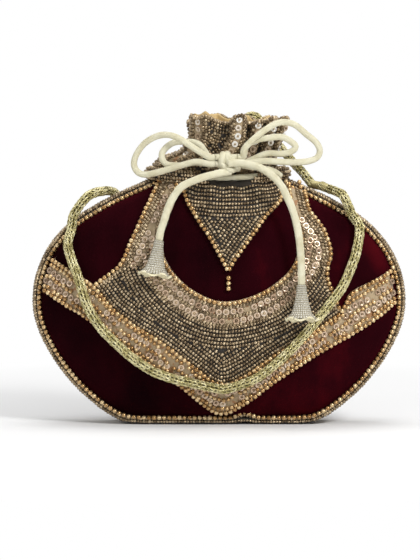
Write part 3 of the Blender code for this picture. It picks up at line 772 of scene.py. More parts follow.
def ringForm(name, profile, sides):
    # A flat ring round Z: profile is a closed line of (radius, height)
    form = bmesh.new()
    rings = [[form.verts.new((radius * math.cos(fullTurn * step / sides), radius * math.sin(fullTurn * step / sides),
                              height)) for step in range(sides)] for radius, height in profile]
    for low, high in zip(rings, rings[1:] + rings[:1]):
        for step in range(sides):
            after = (step + 1) % sides
            form.faces.new((low[step], low[after], high[after], high[step]))
    return formObject(name, form)


def makeStitchForm():
    # One V of knitting in XY: two legs that meet at the front, each a bent thread
    legs = []
    for side in (-1, 1):
        points = [Vector((-0.62, side * 0.46, -0.10)), Vector((-0.15, side * 0.40, 0.16)),
                  Vector((0.30, side * 0.22, 0.18)), Vector((0.62, side * 0.06, -0.06))]
        legs.append(sweepTube("leg", evenPoints(points, 5), 0.150, 5, None))
    return joinPieces("stitchForm", legs)


seedForm = turnedForm("seedForm", [(-0.42, 0.0), (-0.48, 0.20), (-0.30, 0.46), (0.30, 0.46), (0.48, 0.20), (0.42, 0.0)], 8)
beadForm = turnedForm("beadForm", [(-0.40, 0.0), (-0.47, 0.16), (-0.30, 0.41), (0.0, 0.5), (0.30, 0.41),
                                   (0.47, 0.16), (0.40, 0.0)], 10)
sequinForm = ringForm("sequinForm", [(0.15, 0.030), (0.36, 0.020), (0.47, 0.065), (0.50, 0.040), (0.36, -0.030),
                                     (0.15, -0.020)], 14)
stitchForm = makeStitchForm()


def makeRowTree():
    tree = bpy.data.node_groups.new("beadRows", "GeometryNodeTree")
    face = tree.interface
    face.new_socket("Geometry", in_out="INPUT", socket_type="NodeSocketGeometry")
    for name, value in (("Spacing", 0.002), ("Length", 0.002), ("Width", 0.002), ("Height", 0.002),
                        ("Turn", 0.0), ("Uneven", 0.08), ("Tilt", 0.1), ("Missing", 0.0), ("Sideways", 0.0)):
        face.new_socket(name, in_out="INPUT", socket_type="NodeSocketFloat").default_value = value
    face.new_socket("Seed", in_out="INPUT", socket_type="NodeSocketInt").default_value = 1
    face.new_socket("Form", in_out="INPUT", socket_type="NodeSocketObject")
    face.new_socket("Finish", in_out="INPUT", socket_type="NodeSocketMaterial")
    face.new_socket("Geometry", in_out="OUTPUT", socket_type="NodeSocketGeometry")
    nodes, links = tree.nodes, tree.links
    start = nodes.new("NodeGroupInput")
    end = nodes.new("NodeGroupOutput")

    def node(kind, settings=None, values=None):
        made = nodes.new(kind)
        for key, value in (settings or {}).items():
            setattr(made, key, value)
        for key, value in (values or {}).items():
            if isinstance(value, bpy.types.NodeSocket):
                links.new(value, made.inputs[key])
            else:
                made.inputs[key].default_value = value
        return made

    def spread(low, high, offset, kind="FLOAT"):
        made = node("FunctionNodeRandomValue", {"data_type": kind})
        lowSlot, highSlot = {"FLOAT": (2, 3), "FLOAT_VECTOR": (0, 1), "BOOLEAN": (None, None)}[kind]
        if lowSlot is not None:
            for slot, value in ((lowSlot, low), (highSlot, high)):
                if isinstance(value, bpy.types.NodeSocket):
                    links.new(value, made.inputs[slot])
                else:
                    made.inputs[slot].default_value = value
        seed = node("ShaderNodeMath", {"operation": "ADD"}, {0: start.outputs["Seed"], 1: offset})
        links.new(seed.outputs[0], made.inputs["Seed"])
        return made

    curve = node("GeometryNodeMeshToCurve", None, {"Mesh": start.outputs["Geometry"]})
    even = node("GeometryNodeResampleCurve", None, {"Curve": curve.outputs[0]})
    even.mode = "LENGTH"
    links.new(start.outputs["Spacing"], even.inputs["Length"])
    tangent = node("GeometryNodeInputTangent")
    outward = node("GeometryNodeInputNamedAttribute", {"data_type": "FLOAT_VECTOR"}, {"Name": "outward"})
    upright = node("FunctionNodeAlignRotationToVector", {"axis": "Z"}, {"Vector": outward.outputs[0]})
    turned = node("FunctionNodeAlignRotationToVector", {"axis": "X", "pivot_axis": "Z"},
                  {"Rotation": upright.outputs[0], "Vector": tangent.outputs[0]})
    low = node("ShaderNodeMath", {"operation": "MULTIPLY"}, {0: start.outputs["Tilt"], 1: -1.0})
    lean = [spread(low.outputs[0], start.outputs["Tilt"], 11 + index) for index in range(3)]
    aboutZ = node("ShaderNodeMath", {"operation": "ADD"}, {0: lean[2].outputs[1], 1: start.outputs["Turn"]})
    euler = node("ShaderNodeCombineXYZ", None, {0: lean[0].outputs[1], 1: lean[1].outputs[1], 2: aboutZ.outputs[0]})
    asRotation = node("FunctionNodeEulerToRotation", None, {0: euler.outputs[0]})
    facing = node("FunctionNodeRotateRotation", {"rotation_space": "LOCAL"},
                  {0: turned.outputs[0], 1: asRotation.outputs[0]})
    size = node("ShaderNodeCombineXYZ", None,
                {0: start.outputs["Length"], 1: start.outputs["Width"], 2: start.outputs["Height"]})
    small = node("ShaderNodeMath", {"operation": "SUBTRACT"}, {0: 1.0, 1: start.outputs["Uneven"]})
    large = node("ShaderNodeMath", {"operation": "ADD"}, {0: 1.0, 1: start.outputs["Uneven"]})
    vary = spread(small.outputs[0], large.outputs[0], 3)
    scaled = node("ShaderNodeVectorMath", {"operation": "SCALE"}, {0: size.outputs[0], "Scale": vary.outputs[1]})
    form = node("GeometryNodeObjectInfo", None, {"Object": start.outputs["Form"]})
    # Sideways drift of each bead within its row
    across = node("ShaderNodeVectorMath", {"operation": "CROSS_PRODUCT"},
                  {0: outward.outputs[0], 1: tangent.outputs[0]})
    lowSide = node("ShaderNodeMath", {"operation": "MULTIPLY"}, {0: start.outputs["Sideways"], 1: -1.0})
    drift = spread(lowSide.outputs[0], start.outputs["Sideways"], 7)
    shift = node("ShaderNodeVectorMath", {"operation": "SCALE"}, {0: across.outputs[0], "Scale": drift.outputs[1]})
    moved = node("GeometryNodeSetPosition", None, {"Geometry": even.outputs[0], "Offset": shift.outputs[0]})
    keepDraw = spread(0.0, 1.0, 23)
    keep = node("FunctionNodeCompare", {"operation": "GREATER_THAN"},
                {0: keepDraw.outputs[1], 1: start.outputs["Missing"]})
    placed = node("GeometryNodeInstanceOnPoints", None,
                  {"Points": moved.outputs[0], "Selection": keep.outputs[0], "Instance": form.outputs["Geometry"],
                   "Rotation": facing.outputs[0], "Scale": scaled.outputs[0]})
    tint = spread(0.0, 1.0, 5)
    marked = node("GeometryNodeStoreNamedAttribute", {"data_type": "FLOAT", "domain": "INSTANCE"},
                  {"Geometry": placed.outputs[0], "Name": "tint", "Value": tint.outputs[1]})
    real = node("GeometryNodeRealizeInstances", None, {0: marked.outputs[0]})
    smooth = node("GeometryNodeSetShadeSmooth", None, {0: real.outputs[0]})
    finished = node("GeometryNodeSetMaterial", None,
                    {"Geometry": smooth.outputs[0], "Material": start.outputs["Finish"]})
    links.new(finished.outputs[0], end.inputs[0])
    return tree


rowTree = makeRowTree()
rowIds = {item.name: item.identifier for item in rowTree.interface.items_tree if item.in_out == "INPUT"}


def layRows(name, rows, form, material, **sizes):
    # Lays the form along every row; a row is a list of (point, outward) pairs
    mesh = bpy.data.meshes.new(name)
    points, edges, outward = [], [], []
    for row in rows:
        if len(row) < 2:
            continue
        for index, (point, normal) in enumerate(row):
            if index:
                edges.append((len(points) - 1, len(points)))
            points.append(point)
            outward.append(normal)
    mesh.from_pydata(points, edges, [])
    attribute = mesh.attributes.new("outward", "FLOAT_VECTOR", "POINT")
    attribute.data.foreach_set("vector", [value for normal in outward for value in normal])
    piece = addMesh(name, mesh, None)
    modifier = piece.modifiers.new("rows", "NODES")
    modifier.node_group = rowTree
    modifier[rowIds["Form"]] = form
    modifier[rowIds["Finish"]] = material
    for key, value in sizes.items():
        modifier[rowIds[key[0].upper() + key[1:]]] = value
    return settle(piece)


# Sizes of the trimmings, in metres
seedSize = {"spacing": 0.00200, "length": 0.00176, "width": 0.00210, "height": 0.00195, "uneven": 0.09, "tilt": 0.16}
crossSize = {"spacing": 0.00215, "length": 0.0026, "width": 0.00200, "height": 0.00185, "uneven": 0.10, "tilt": 0.14,
             "turn": math.radians(72)}
goldSize = {"spacing": 0.00325, "length": 0.0030, "width": 0.0031, "height": 0.0029, "uneven": 0.07, "tilt": 0.5}
sequinSize = {"spacing": 0.0045, "length": 0.0041, "width": 0.0041, "height": 0.0034, "uneven": 0.05, "tilt": 0.13}
eyeSize = {"spacing": 0.0045, "length": 0.0011, "width": 0.0014, "height": 0.0014, "uneven": 0.10, "tilt": 0.10}


def dress(piece, slotName, *nodes):
    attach(piece, "root")
    if nodes:
        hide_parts(*nodes)
    return piece


def laySeeds(name, rows, seed, **changes):
    return dress(layRows(name, rows, seedForm, seedMetal, seed=seed, **dict(seedSize, **changes)), "seed_beads")


def layGold(name, rows, seed, *nodes, **changes):
    return dress(layRows(name, rows, beadForm, goldMetal, seed=seed, **dict(goldSize, **changes)), "gold_beads", *nodes)


def laySequins(name, rows, seed, finish, **changes):
    # Flat rings, each held down by a small bead in its hole
    dress(layRows(name, rows, sequinForm, finish, seed=seed, **dict(sequinSize, **changes)), "gold_beads")
    raised = [[(point + normal * 0.0003, normal) for point, normal in row] for row in rows]
    eyes = {key: value for key, value in changes.items() if key in ("missing", "sideways")}
    dress(layRows(name + "Eyes", raised, seedForm, seedMetal, seed=seed, **dict(eyeSize, **eyes)), "seed_beads")


# Rows on the front: drawn flat in x and z, then laid on the cloth
handWaver = {"reach": 0.00045, "scale": 170.0}


def layFlat(points, lift):
    row = []
    for point in points:
        place = Vector((point.x, point.y, lift)) * handWaver["scale"]
        x = point.x + handWaver["reach"] * noise.noise(place)
        z = point.y + handWaver["reach"] * noise.noise(place + Vector((31.0, 7.0, 0.0)))
        row.append((frontPoint(x, z, lift), frontNormal(x, z)))
    return row


def offsetLine(points, distance):
    # Moves a flat line sideways, to the left of its own direction when distance is above zero
    moved = []
    for index, point in enumerate(points):
        along = (points[min(index + 1, len(points) - 1)] - points[max(index - 1, 0)]).normalized()
        moved.append(point + Vector((-along.y, along.x)) * distance)
    return moved


def keptRuns(points, keep, shortest=3):
    runs, run = [], []
    for point in points + [None]:
        if point is not None and keep(point):
            run.append(point)
        else:
            if len(run) >= shortest:
                runs.append(run)
            run = []
    return runs


def insidePolygon(point, polygon):
    inside = False
    for first, second in zip(polygon, polygon[1:] + polygon[:1]):
        if (first.y > point.y) != (second.y > point.y):
            cut = first.x + (point.y - first.y) / (second.y - first.y) * (second.x - first.x)
            if point.x < cut:
                inside = not inside
    return inside


def distanceTo(point, line):
    return min((point - other).length for other in line)


def clearOfBorder(point):
    return abs(point.x) < readGrid(widthGrid, point.y) * bag["seamClearShare"]


upperLine = smoothPoints(onBody(bandUpper), 260)
lowerLine = smoothPoints(onBody(bandLower), 260)
innerLine = smoothPoints(onBody(yokeInner), 200)
leftStrap = smoothPoints(onBody(yokeLeftSide), 60)
rightStrap = smoothPoints(onBody(yokeRightSide), 60)
yokeFloor = [point for point in upperLine if leftStrap[-1].x < point.x < rightStrap[0].x]
yokeOuterLine = leftStrap + yokeFloor + rightStrap
yokePolygon = yokeOuterLine + list(reversed(innerLine))
triangleLeftLine = smoothPoints(onBody(triangleLeft), 60)
triangleRightLine = smoothPoints(onBody(triangleRight), 60)
trianglePolygon = triangleLeftLine + list(reversed(triangleRightLine))
panelTop = bag["appliqueLift"] + bag["appliqueWall"]
clothWall = 0.0006
lifts = {  # how far each kind of bead is centred over the body
    "seeds": panelTop, "cross": panelTop, "sequins": panelTop + 0.0004, "gold": panelTop + 0.0004,
}


def makeGround(name, first, second, rowCount, material, node):
    # The cloth under the bead-work, between two lines
    rows = []
    for row in range(rowCount + 1):
        line = []
        for low, high in zip(first, second):
            place = low.lerp(high, row / rowCount)
            reach = readGrid(widthGrid, place.y) * bag["seamClearShare"]
            line.append(frontPoint(min(max(place.x, -reach), reach), place.y, bag["appliqueLift"]))
        rows.append(line)
    ground = addMesh(name, gridMesh(rows), material)
    share = ground.data.attributes.new("tissueShare", "FLOAT", "POINT")
    share.data.foreach_set("value", [tissueShare(Vector((vertex.co.x, vertex.co.z))) for vertex in ground.data.vertices])
    addWall(ground, clothWall, 1.0)
    dress(ground, "tissue", node)


def joinedLine(sections):
    line = []
    for points, count in sections:
        stretch = evenPoints(points, count + 1)
        line += stretch if not line else stretch[1:]
    return line


# Cords come first: the knitted handles
handle = {"diameter": 0.0058, "stitch": 0.0029, "chains": 8, "core": 0.0018, "stitchWidth": 0.0025, "rise": 0.0015,
          "out": 0.0004, "stitchHeight": 0.0026, "wrapThread": 0.00042, "wrapRadius": 0.0024, "wrapLength": 0.0045}


def overSurface(shape, lift, side):
    points = []
    for x, z in onBody(shape):
        point = Vector((x, frontY(x, z), z)) + frontNormal(x, z) * lift
        points.append(Vector((point.x, -side * point.y, point.z)))
    return points


def makeHandle(name, node, route, seed):
    path = smoothPoints(route, 400)
    core = sweepTube(name, evenStep(path, 0.0030), handle["core"], 10, knitCore)
    fine = evenStep(path, 0.0011)
    tangents, normals = frames(fine)
    rows = []
    for chain in range(handle["chains"]):
        row = []
        for index, point in enumerate(fine):
            angle = fullTurn * chain / handle["chains"] + 0.0035 * index
            side = tangents[index].cross(normals[index])
            outward = normals[index] * math.cos(angle) + side * math.sin(angle)
            row.append((point + outward * (handle["core"] + handle["out"]), outward))
        rows.append(row)
    stitches = layRows(name + "Stitches", rows, stitchForm, knitGold, spacing=handle["stitch"],
                       length=handle["stitch"] * 1.05, width=handle["stitchWidth"],
                       height=handle["stitchHeight"], uneven=0.08, tilt=0.16, seed=seed)
    piece = dress(joinPieces(name, [core, stitches]), "knit_cord", node)
    lineLengths(path)[-1]
    [tuple(point) for point in evenStep(path, 0.006)]


handleLift = handle["diameter"] / 2 + bag["appliqueWall"] + handle["rise"]
frontRoute = ([Vector(point) for point in handleFrontLeft] + overSurface(handleFrontRun, handleLift, -1)
              + [Vector(point) for point in handleFrontRight])
backRoute = [Vector(point) for point in handleBackRise] + overSurface(
    handleBackRun, handle["diameter"] / 2 + 2 * bag["gap"], 1)
makeHandle("frontHandleCord", "front_handle", frontRoute, 31)
makeHandle("backHandleCord", "back_handle", backRoute, 37)


def bindEnds(name, route):
    # Gold thread wound close round the ends of the handles, where they are sewn to the seam
    path = smoothPoints(route, 60)
    turns = lineLengths(path)[-1] / (handle["wrapThread"] * 2.1)
    fine = evenPoints(path, int(turns * 10))
    tangents, normals = frames(fine)
    winding = []
    for index, point in enumerate(fine):
        angle = fullTurn * turns * index / (len(fine) - 1)
        side = tangents[index].cross(normals[index])
        winding.append(point + (normals[index] * math.cos(angle) + side * math.sin(angle)) * handle["wrapRadius"])
    middle = sweepTube(name, evenPoints(path, 12), handle["wrapRadius"], 12, knitCore)
    thread = sweepTube("thread", winding, handle["wrapThread"], 5, wrapThread)
    dress(joinPieces(name, [middle, thread]), "knit_cord")


def outFrom(points, distance):
    return points[0] + (points[0] - points[1]).normalized() * distance


bindEnds("handleBindingRight", [outFrom(frontRoute[::-1], -handle["wrapLength"]), frontRoute[-1],
                                backRoute[0], outFrom(backRoute, -handle["wrapLength"])])
bindEnds("handleBindingLeft", [outFrom(frontRoute, -handle["wrapLength"]), frontRoute[0], outFrom(frontRoute, 0.003)])
print("handles ready")

# Drawstring: loops, tails, knot and the run round the neck; the strands lie flat, wide side to the front
drawstring = {"diameter": 0.0040, "sides": 18, "step": 0.0012, "loopHalf": 0.00205, "loopFlat": 0.66,
              "tailHalf": 0.0024, "tailFlat": 0.64, "saddleSide": 0.0035, "saddleFront": 0.0010, "slack": 0.0016}


def knotExit(side, layer, level):
    centre = Vector(knot["centre"])
    return centre + Vector((side * (knot["width"] / 2 + 1.5 * bag["gap"]), layer * knot["spread"], level * knot["spread"]))


def cordWidth(seed):
    return lambda share: 1.0 + 0.06 * noise.noise(Vector((share * 16, seed, 0.3)))


def makeLoop(name, node, points, side, layer):
    start, end = knotExit(side, layer, 1), knotExit(side, layer, -1)
    lead = Vector((side * drawstring["diameter"], 0.0, 0.0))
    route = [start, start + lead] + [Vector(point) for point in points] + [end + lead, end]
    path = smoothPoints(route, 300)
    loop = sweepTube(name, evenStep(path, drawstring["step"]), drawstring["loopHalf"], drawstring["sides"],
                     satin, drawstring["loopFlat"], cordWidth(len(points)), True)
    dress(loop, "satin_cord", node)
    lineLengths(path)[-1]
    [tuple(point) for point in evenStep(path, 0.004)]


makeLoop("loopLeftOuter", "loop_left_outer", loopLeftOuter, -1, -1)
makeLoop("loopLeftInner", "loop_left_inner", loopLeftInner, -1, 1)
makeLoop("loopRightOuter", "loop_right_outer", loopRightOuter, 1, -1)
makeLoop("loopRightInner", "loop_right_inner", loopRightInner, 1, 1)

tassel = {"flat": 0.72, "sides": 80, "ribs": 30, "rows": 30, "rings": 18, "waves": 0.08, "waveDrop": 0.0010}
tasselCap = [(0.0, 0.0004), (0.0028, 0.0004), (0.0031, -0.0008), (0.0034, -0.0040), (0.0041, -0.0080),
             (0.0051, -0.0125), (0.0064, -0.0170), (0.0074, -0.0184), (0.0087, -0.0199), (0.0098, -0.0211)]
tasselSkirt = [(0.0097, -0.0209), (0.0104, -0.0217), (0.01045, -0.0223),
               (0.0088, -0.0214), (0.0062, -0.0196), (0.0, -0.0188)]


def makeTassel(name, node, tail, lean):
    # A woven cone that ends in a wavy satin skirt
    top = Vector(tail[-1]) - Vector((0.0, 0.0, 0.00045))
    turn = Matrix.Rotation(lean[1], 4, "Y") @ Matrix.Rotation(lean[0], 4, "X")
    widest = max(radius for radius, drop in tasselSkirt)

    def turnedRows(profile, wave, drop):
        rows = []
        for place in smoothPoints([(radius, height) for radius, height in profile], tassel["rows"]):
            row = []
            for step in range(tassel["sides"]):
                angle = fullTurn * step / tassel["sides"]
                open_ = smoothStep(0.6, 1.0, place.x / widest)
                reach = place.x * (1 + wave * math.sin(7 * angle + 1.0) * open_)
                local = Vector((reach * math.cos(angle), reach * math.sin(angle) * tassel["flat"],
                                place.y + drop * math.sin(5 * angle + 0.6) * open_))
                row.append(top + turn @ local)
            rows.append(row)
        return rows

    cone = addMesh(name, gridMesh(turnedRows(tasselCap, 0.0, 0.0), True, (tassel["ribs"], tassel["rings"])), silverWeave)
    skirt = addMesh(name + "Skirt", gridMesh(turnedRows(tasselSkirt, tassel["waves"], tassel["waveDrop"]), True),
                    tasselSatin)
    piece = joinPieces(name, [cone, skirt])
    form = bmesh.new()
    form.from_mesh(piece.data)
    bmesh.ops.remove_doubles(form, verts=form.verts, dist=0.00005)
    bmesh.ops.recalc_face_normals(form, faces=form.faces)
    form.to_mesh(piece.data)
    form.free()
    return dress(piece, "tassel_weave", node)


def makeTail(name, node, tail, piece):
    path = smoothPoints(tail, 240)
    cord = sweepTube(name, evenStep(path, drawstring["step"]), drawstring["tailHalf"], drawstring["sides"],
                     satin, drawstring["tailFlat"], cordWidth(2.0), True)
    dress(cord, "satin_cord", node)
    lineLengths(path)[-1]
    [tuple(point) for point in evenStep(path, 0.004)]


leanForward = math.radians(-8)
makeTail("tailLeft", "tail_left", tailLeft,
         makeTassel("tasselLeft", "tassel_left", tailLeft, (leanForward, math.radians(8))))
makeTail("tailRight", "tail_right", tailRight,
         makeTassel("tasselRight", "tassel_right", tailRight, (leanForward, 0.0)))

wrapTurns = [  # place along the knot, how far it slants, radius, drop, cord radius
    (-0.0026, 0.14, 0.0039, 0.0, 0.0023), (0.0014, -0.16, 0.0042, -0.0002, 0.0024), (0.0054, -0.52, 0.0036, -0.0016, 0.0022),
]
knotTuck = [(0.0100, -0.0225, 0.1655), (0.0092, -0.0262, 0.1640), (0.0066, -0.0288, 0.1640), (0.0030, -0.0282, 0.1664),
            (0.0012, -0.0250, 0.1686)]


def makeKnot():
    # Wraps of cord round the bundle of strands, a tuck under them, and the bundle itself
    centre = Vector(knot["centre"])
    pieces = []
    for place, slant, reach, drop, radius in wrapTurns:
        ring = []
        for step in range(49):
            angle = fullTurn * step / 48
            point = Vector((math.sin(angle) * slant * reach, math.cos(angle) * reach, math.sin(angle) * reach * 0.95))
            ring.append(centre + Vector((place, 0.0, drop)) + point)
        pieces.append(sweepTube("wrap", ring, radius, 16, satin))
    pieces.append(sweepTube("tuck", smoothPoints(knotTuck, 30), 0.0023, 16, satin, 0.8))
    for layer in (-1, 1):
        for level in (-1, 1):
            points = [knotExit(-1, layer, level), centre + Vector((0.0, layer * 0.0019, level * 0.0019)),
                      knotExit(1, layer, level)]
            pieces.append(sweepTube("strand", smoothPoints(points, 14), 0.0020, 12, satin))
    dress(joinPieces("bowKnot", pieces), "satin_cord", "bow_knot")


leadStrand = [(0.0135, -0.0205, 0.1668), (0.0220, -0.0215, 0.1655), (0.0300, -0.0205, 0.1648),
              (0.0360, -0.0180, 0.1625), (0.0395, -0.0140, 0.1600)]


def ringPlace(angle):
    side, front = drawstring["saddleSide"], drawstring["saddleFront"]
    place = neckSection(angle, side) + neckOutward(angle, side) * (drawstring["diameter"] / 2 + drawstring["slack"])
    place.z -= (side - front) * math.sin(angle) ** 2
    return place


def makeNeckRing():
    points = [ringPlace(fullTurn * index / 120) for index in range(121)]
    ring = sweepTube("neckRing", points, drawstring["diameter"] / 2, 16, satin, 0.9)
    lead = sweepTube("leadStrand", smoothPoints(leadStrand, 30), drawstring["diameter"] / 2, 16, satin, 0.8)
    dress(joinPieces("neckRing", [ring, lead]), "satin_cord", "neck_ring")


makeKnot()
makeNeckRing()
print("drawstring ready")


# Velvet panels: finer skins on the same form, with the cloth's own gathers and slack
def makePanel(name, node, side, columns, rowCount):
    rows = []
    for place in evenPoints(innerEdge, rowCount) + [neckFoot]:
        row = []
        seam = seamHalfDepth(place.y)
        middle = max(readGrid(depthGrid, place.y), seam)
        for column in range(columns + 1):
            u = 2 * column / columns - 1
            x = math.sin(math.pi / 2 * u) * place.x
            y = seam + (middle - seam) * max(math.cos(math.pi / 2 * u), 0.0) ** 1.24
            lift = surfaceRelief(x if side < 0 else -x * 0.9, place.y) * (1 - abs(u) ** 8)
            point = Vector((x, -y, place.y)) + frontNormal(x * 0.999, place.y) * lift
            point.y *= -side
            row.append(point)
        rows.append(row if side < 0 else list(reversed(row)))
    panel = dress(addWall(addMesh(name, gridMesh(rows), velvet), bag["velvet"] * 0.8), "velvet", node)


# Lining bag: stuffed, and gathered shut under the frill
pouchForm = {"inset": 0.0032, "seamInset": 0.0050, "foot": 0.0070, "floor": 0.0098, "neckShare": 0.80, "pleats": 15}


def makePouch():
    rows = []
    for row in range(41):
        z = pouchForm["foot"] + (bag["height"] - pouchForm["foot"]) * row / 40
        wide = readGrid(widthGrid, z) - pouchForm["seamInset"]
        line = []
        for step in range(96):
            angle = fullTurn * step / 96
            x = wide * math.cos(angle)
            deep = max(-frontY(x, z) - pouchForm["inset"], 0.001)
            line.append(Vector((x, deep * math.copysign(abs(math.sin(angle)) ** 0.5, math.sin(angle)), z)))
        rows.append(line)
    for height in (0.003, pouchForm["floor"]):
        rows.append([neckSection(0, height).lerp(neckSection(math.pi, height), 0.5).lerp(
            neckSection(fullTurn * step / 96, height), pouchForm["neckShare"]) for step in range(96)])
    rim = rows[-1]
    middle = sum(rim, Vector()) / len(rim)
    for share in (0.92, 0.80, 0.66, 0.50, 0.34, 0.18, 0.04):
        wave = 0.0016 * math.sin(math.pi * share) * smoothStep(0.0, 0.3, share)
        rows.append([middle.lerp(point, share) + Vector((0.0, 0.0, wave * math.sin(
            pouchForm["pleats"] * fullTurn * step / 96) - 0.0022 * (1 - share))) for step, point in enumerate(rim)])
    mesh = gridMesh(rows, True)
    form = bmesh.new()
    form.from_mesh(mesh)
    bmesh.ops.holes_fill(form, edges=[edge for edge in form.edges if edge.is_boundary])
    bmesh.ops.recalc_face_normals(form, faces=form.faces)
    form.to_mesh(mesh)
    form.free()
    pouch = dress(addMesh("liningPouch", mesh, creamLining), "lining", "lining_pouch")


makePouch()
makePanel("velvetFront", "front_panel", -1, 110, 96)
makePanel("velvetBack", "back_panel", 1, 90, 80)
print("velvet and lining ready")

# Ground cloths of the bead-work
rowGaps = {"pitch": 0.0024, "curveFrom": 0.0170, "curveRows": 6, "strapFrom": 0.103, "strapWidth": 0.0100,
           "vRows": 28, "middleX": 0.0005}


def tissueShare(place):
    if distanceTo(place, innerLine) < rowGaps["curveFrom"] - 0.0012 or place.y > rowGaps["strapFrom"]:
        return 1.0
    return 0.0


makeGround("bandGround", evenPoints(lowerLine, 170), evenPoints(upperLine, 170), 10, tissue, "v_band")
yokeOuterEven = joinedLine([(leftStrap, 40), ([leftStrap[-1]] + yokeFloor + [rightStrap[0]], 110), (rightStrap, 40)])
innerLeft = [point for point in innerLine if point.x < 0 and point.y > yokeInner[4][1] * bag["height"]]
innerRight = [point for point in innerLine if point.x > 0 and point.y > yokeInner[10][1] * bag["height"]]
innerMiddle = [point for point in innerLine if point not in innerLeft and point not in innerRight]
yokeInnerEven = joinedLine([(innerLeft, 40), ([innerLeft[-1]] + innerMiddle + [innerRight[0]], 110), (innerRight, 40)])
makeGround("yokeGround", yokeOuterEven, yokeInnerEven, 24, yokeCloth, "yoke_collar")
makeGround("triangleGround", evenPoints(triangleLeftLine, 40), evenPoints(triangleRightLine, 40), 16,
           darkGround, "centre_triangle")

rowKinds = {"seeds": [], "cross": [], "gold": [], "sequins": [], "bandGold": [], "bandSequins": []}


def inYoke(point):
    return insidePolygon(point, yokePolygon) and clearOfBorder(point)


def addRow(kind, line, keep, lift=None):
    for run in keptRuns(evenStep(line, 0.0008), keep):
        rowKinds[kind].append(layFlat(run, lifts[kind] if lift is None else lift))


def stretched(line, far):
    start = (line[0] - line[3]).normalized() * far
    end = (line[-1] - line[-4]).normalized() * far
    return [line[0] + start] + line + [line[-1] + end]


# Yoke: rows that follow the inner curve, then nested rows in a V
straps = leftStrap + rightStrap
addRow("gold", offsetLine(innerLine, -0.0013), lambda point: True)
for kind, distance in (("cross", 0.0038), ("sequins", 0.0066), ("cross", 0.0097), ("sequins", 0.0126), ("cross", 0.0152)):
    addRow(kind, offsetLine(innerLine, -distance), lambda point: (
        inYoke(point) and distanceTo(point, yokeOuterLine) > (0.0022 if point.y < rowGaps["strapFrom"] else (
            0.0118 if kind == "sequins" else 0.0098))))
for row in range(rowGaps["curveRows"]):
    addRow("seeds", offsetLine(innerLine, -(rowGaps["curveFrom"] + row * rowGaps["pitch"])), lambda point: (
        inYoke(point) and distanceTo(point, yokeOuterLine) > 0.0028 and point.y < rowGaps["strapFrom"]))
curveZone = rowGaps["curveFrom"] + (rowGaps["curveRows"] - 0.40) * rowGaps["pitch"]
leftFloor = [point for point in yokeFloor if point.x < rowGaps["middleX"]]
rightFloor = [point for point in yokeFloor if point.x > rowGaps["middleX"]]
for row in range(rowGaps["vRows"]):
    away = 0.0016 + row * rowGaps["pitch"]
    for arm, side in ((leftFloor, -1), (rightFloor, 1)):
        addRow("seeds", stretched(offsetLine(arm, away), 0.034), lambda point: (
            inYoke(point) and (point.x - rowGaps["middleX"]) * side > 0.0005 and point.y < rowGaps["strapFrom"]
            and distanceTo(point, arm) > away - 0.0004
            and distanceTo(point, innerLine) > curveZone and distanceTo(point, straps) > 0.0024))
# Straps: gold, two rope-like rows and sequins, in from the outer side
for strap in (leftStrap, rightStrap):
    for kind, distance in (("gold", 0.0011), ("cross", 0.0032), ("cross", 0.0053), ("sequins", 0.0085)):
        addRow(kind, offsetLine(strap, distance), lambda point: kind == "gold" or (
            inYoke(point) and (point.y > rowGaps["strapFrom"] or distance < 0.004)
            and distanceTo(point, innerLine) > 0.0036))
# Band: gold at both edges, mixed rows of sequins and gold in between
bandSpan = list(zip(lowerLine, upperLine))
for kind, share in (("gold", 0.050), ("gold", 0.950), ("bandGold", 0.185), ("bandSequins", 0.33), ("bandGold", 0.485),
                    ("bandSequins", 0.64), ("bandGold", 0.80)):
    addRow(kind, [low.lerp(high, share) for low, high in bandSpan], clearOfBorder,
           lifts["sequins" if kind == "bandSequins" else "gold"])


# Triangle: gold on both sides, sagging rows at the top, then nested rows in a V
recess = {"x": 0.0085, "z": 0.1562, "half": 0.0190, "deep": 0.0044}  # left bare, so that the near-black ground shows there as painted shadow below the neck ring


def inTriangle(point):
    if ((point.x - recess["x"]) / recess["half"]) ** 2 + ((point.y - recess["z"]) / recess["deep"]) ** 2 < 1:
        return False
    return (insidePolygon(point, trianglePolygon) and distanceTo(point, triangleLeftLine) > 0.0020
            and distanceTo(point, triangleRightLine) > 0.0020)


# the sagging rows start below the triangle's top, so that the near-black ground above them shows as painted shadow
# under the neck ring
triangleForm = {"top": 0.1535, "sagRows": 9, "sag": 3.8, "middle": 0.006, "lean": -0.30, "vRows": 14}
addRow("gold", offsetLine(triangleLeftLine, 0.0010), lambda point: True)
addRow("gold", offsetLine(triangleRightLine, -0.0010), lambda point: True)
apex = triangleLeftLine[-1].lerp(triangleRightLine[-1], 0.5)
sagFoot = triangleForm["top"] - triangleForm["sagRows"] * rowGaps["pitch"]


def sagHeight(x):
    return triangleForm["sag"] * (x - triangleForm["middle"]) ** 2


for row in range(triangleForm["sagRows"]):
    level = triangleForm["top"] - row * rowGaps["pitch"]
    addRow("seeds", [Vector((x * 0.0008, level + sagHeight(x * 0.0008))) for x in range(-40, 56)], inTriangle)
for row in range(triangleForm["vRows"]):
    for edge, side in ((triangleLeftLine, -1), (triangleRightLine, 1)):
        addRow("seeds", stretched(offsetLine(edge, -side * (0.0028 + row * rowGaps["pitch"])), 0.02), lambda point: (
            inTriangle(point) and (point.x - apex.x - triangleForm["lean"] * (point.y - apex.y)) * side > 0.0005
            and point.y < sagFoot + sagHeight(point.x) + 0.0003))
drop = Vector((dropTop[0] * bag["halfWidth"], dropTop[1] * bag["height"]))
dropRow = [(frontPoint(drop.x, drop.y - step * 0.0033, 0.0016), frontNormal(drop.x, drop.y)) for step in range(3)]

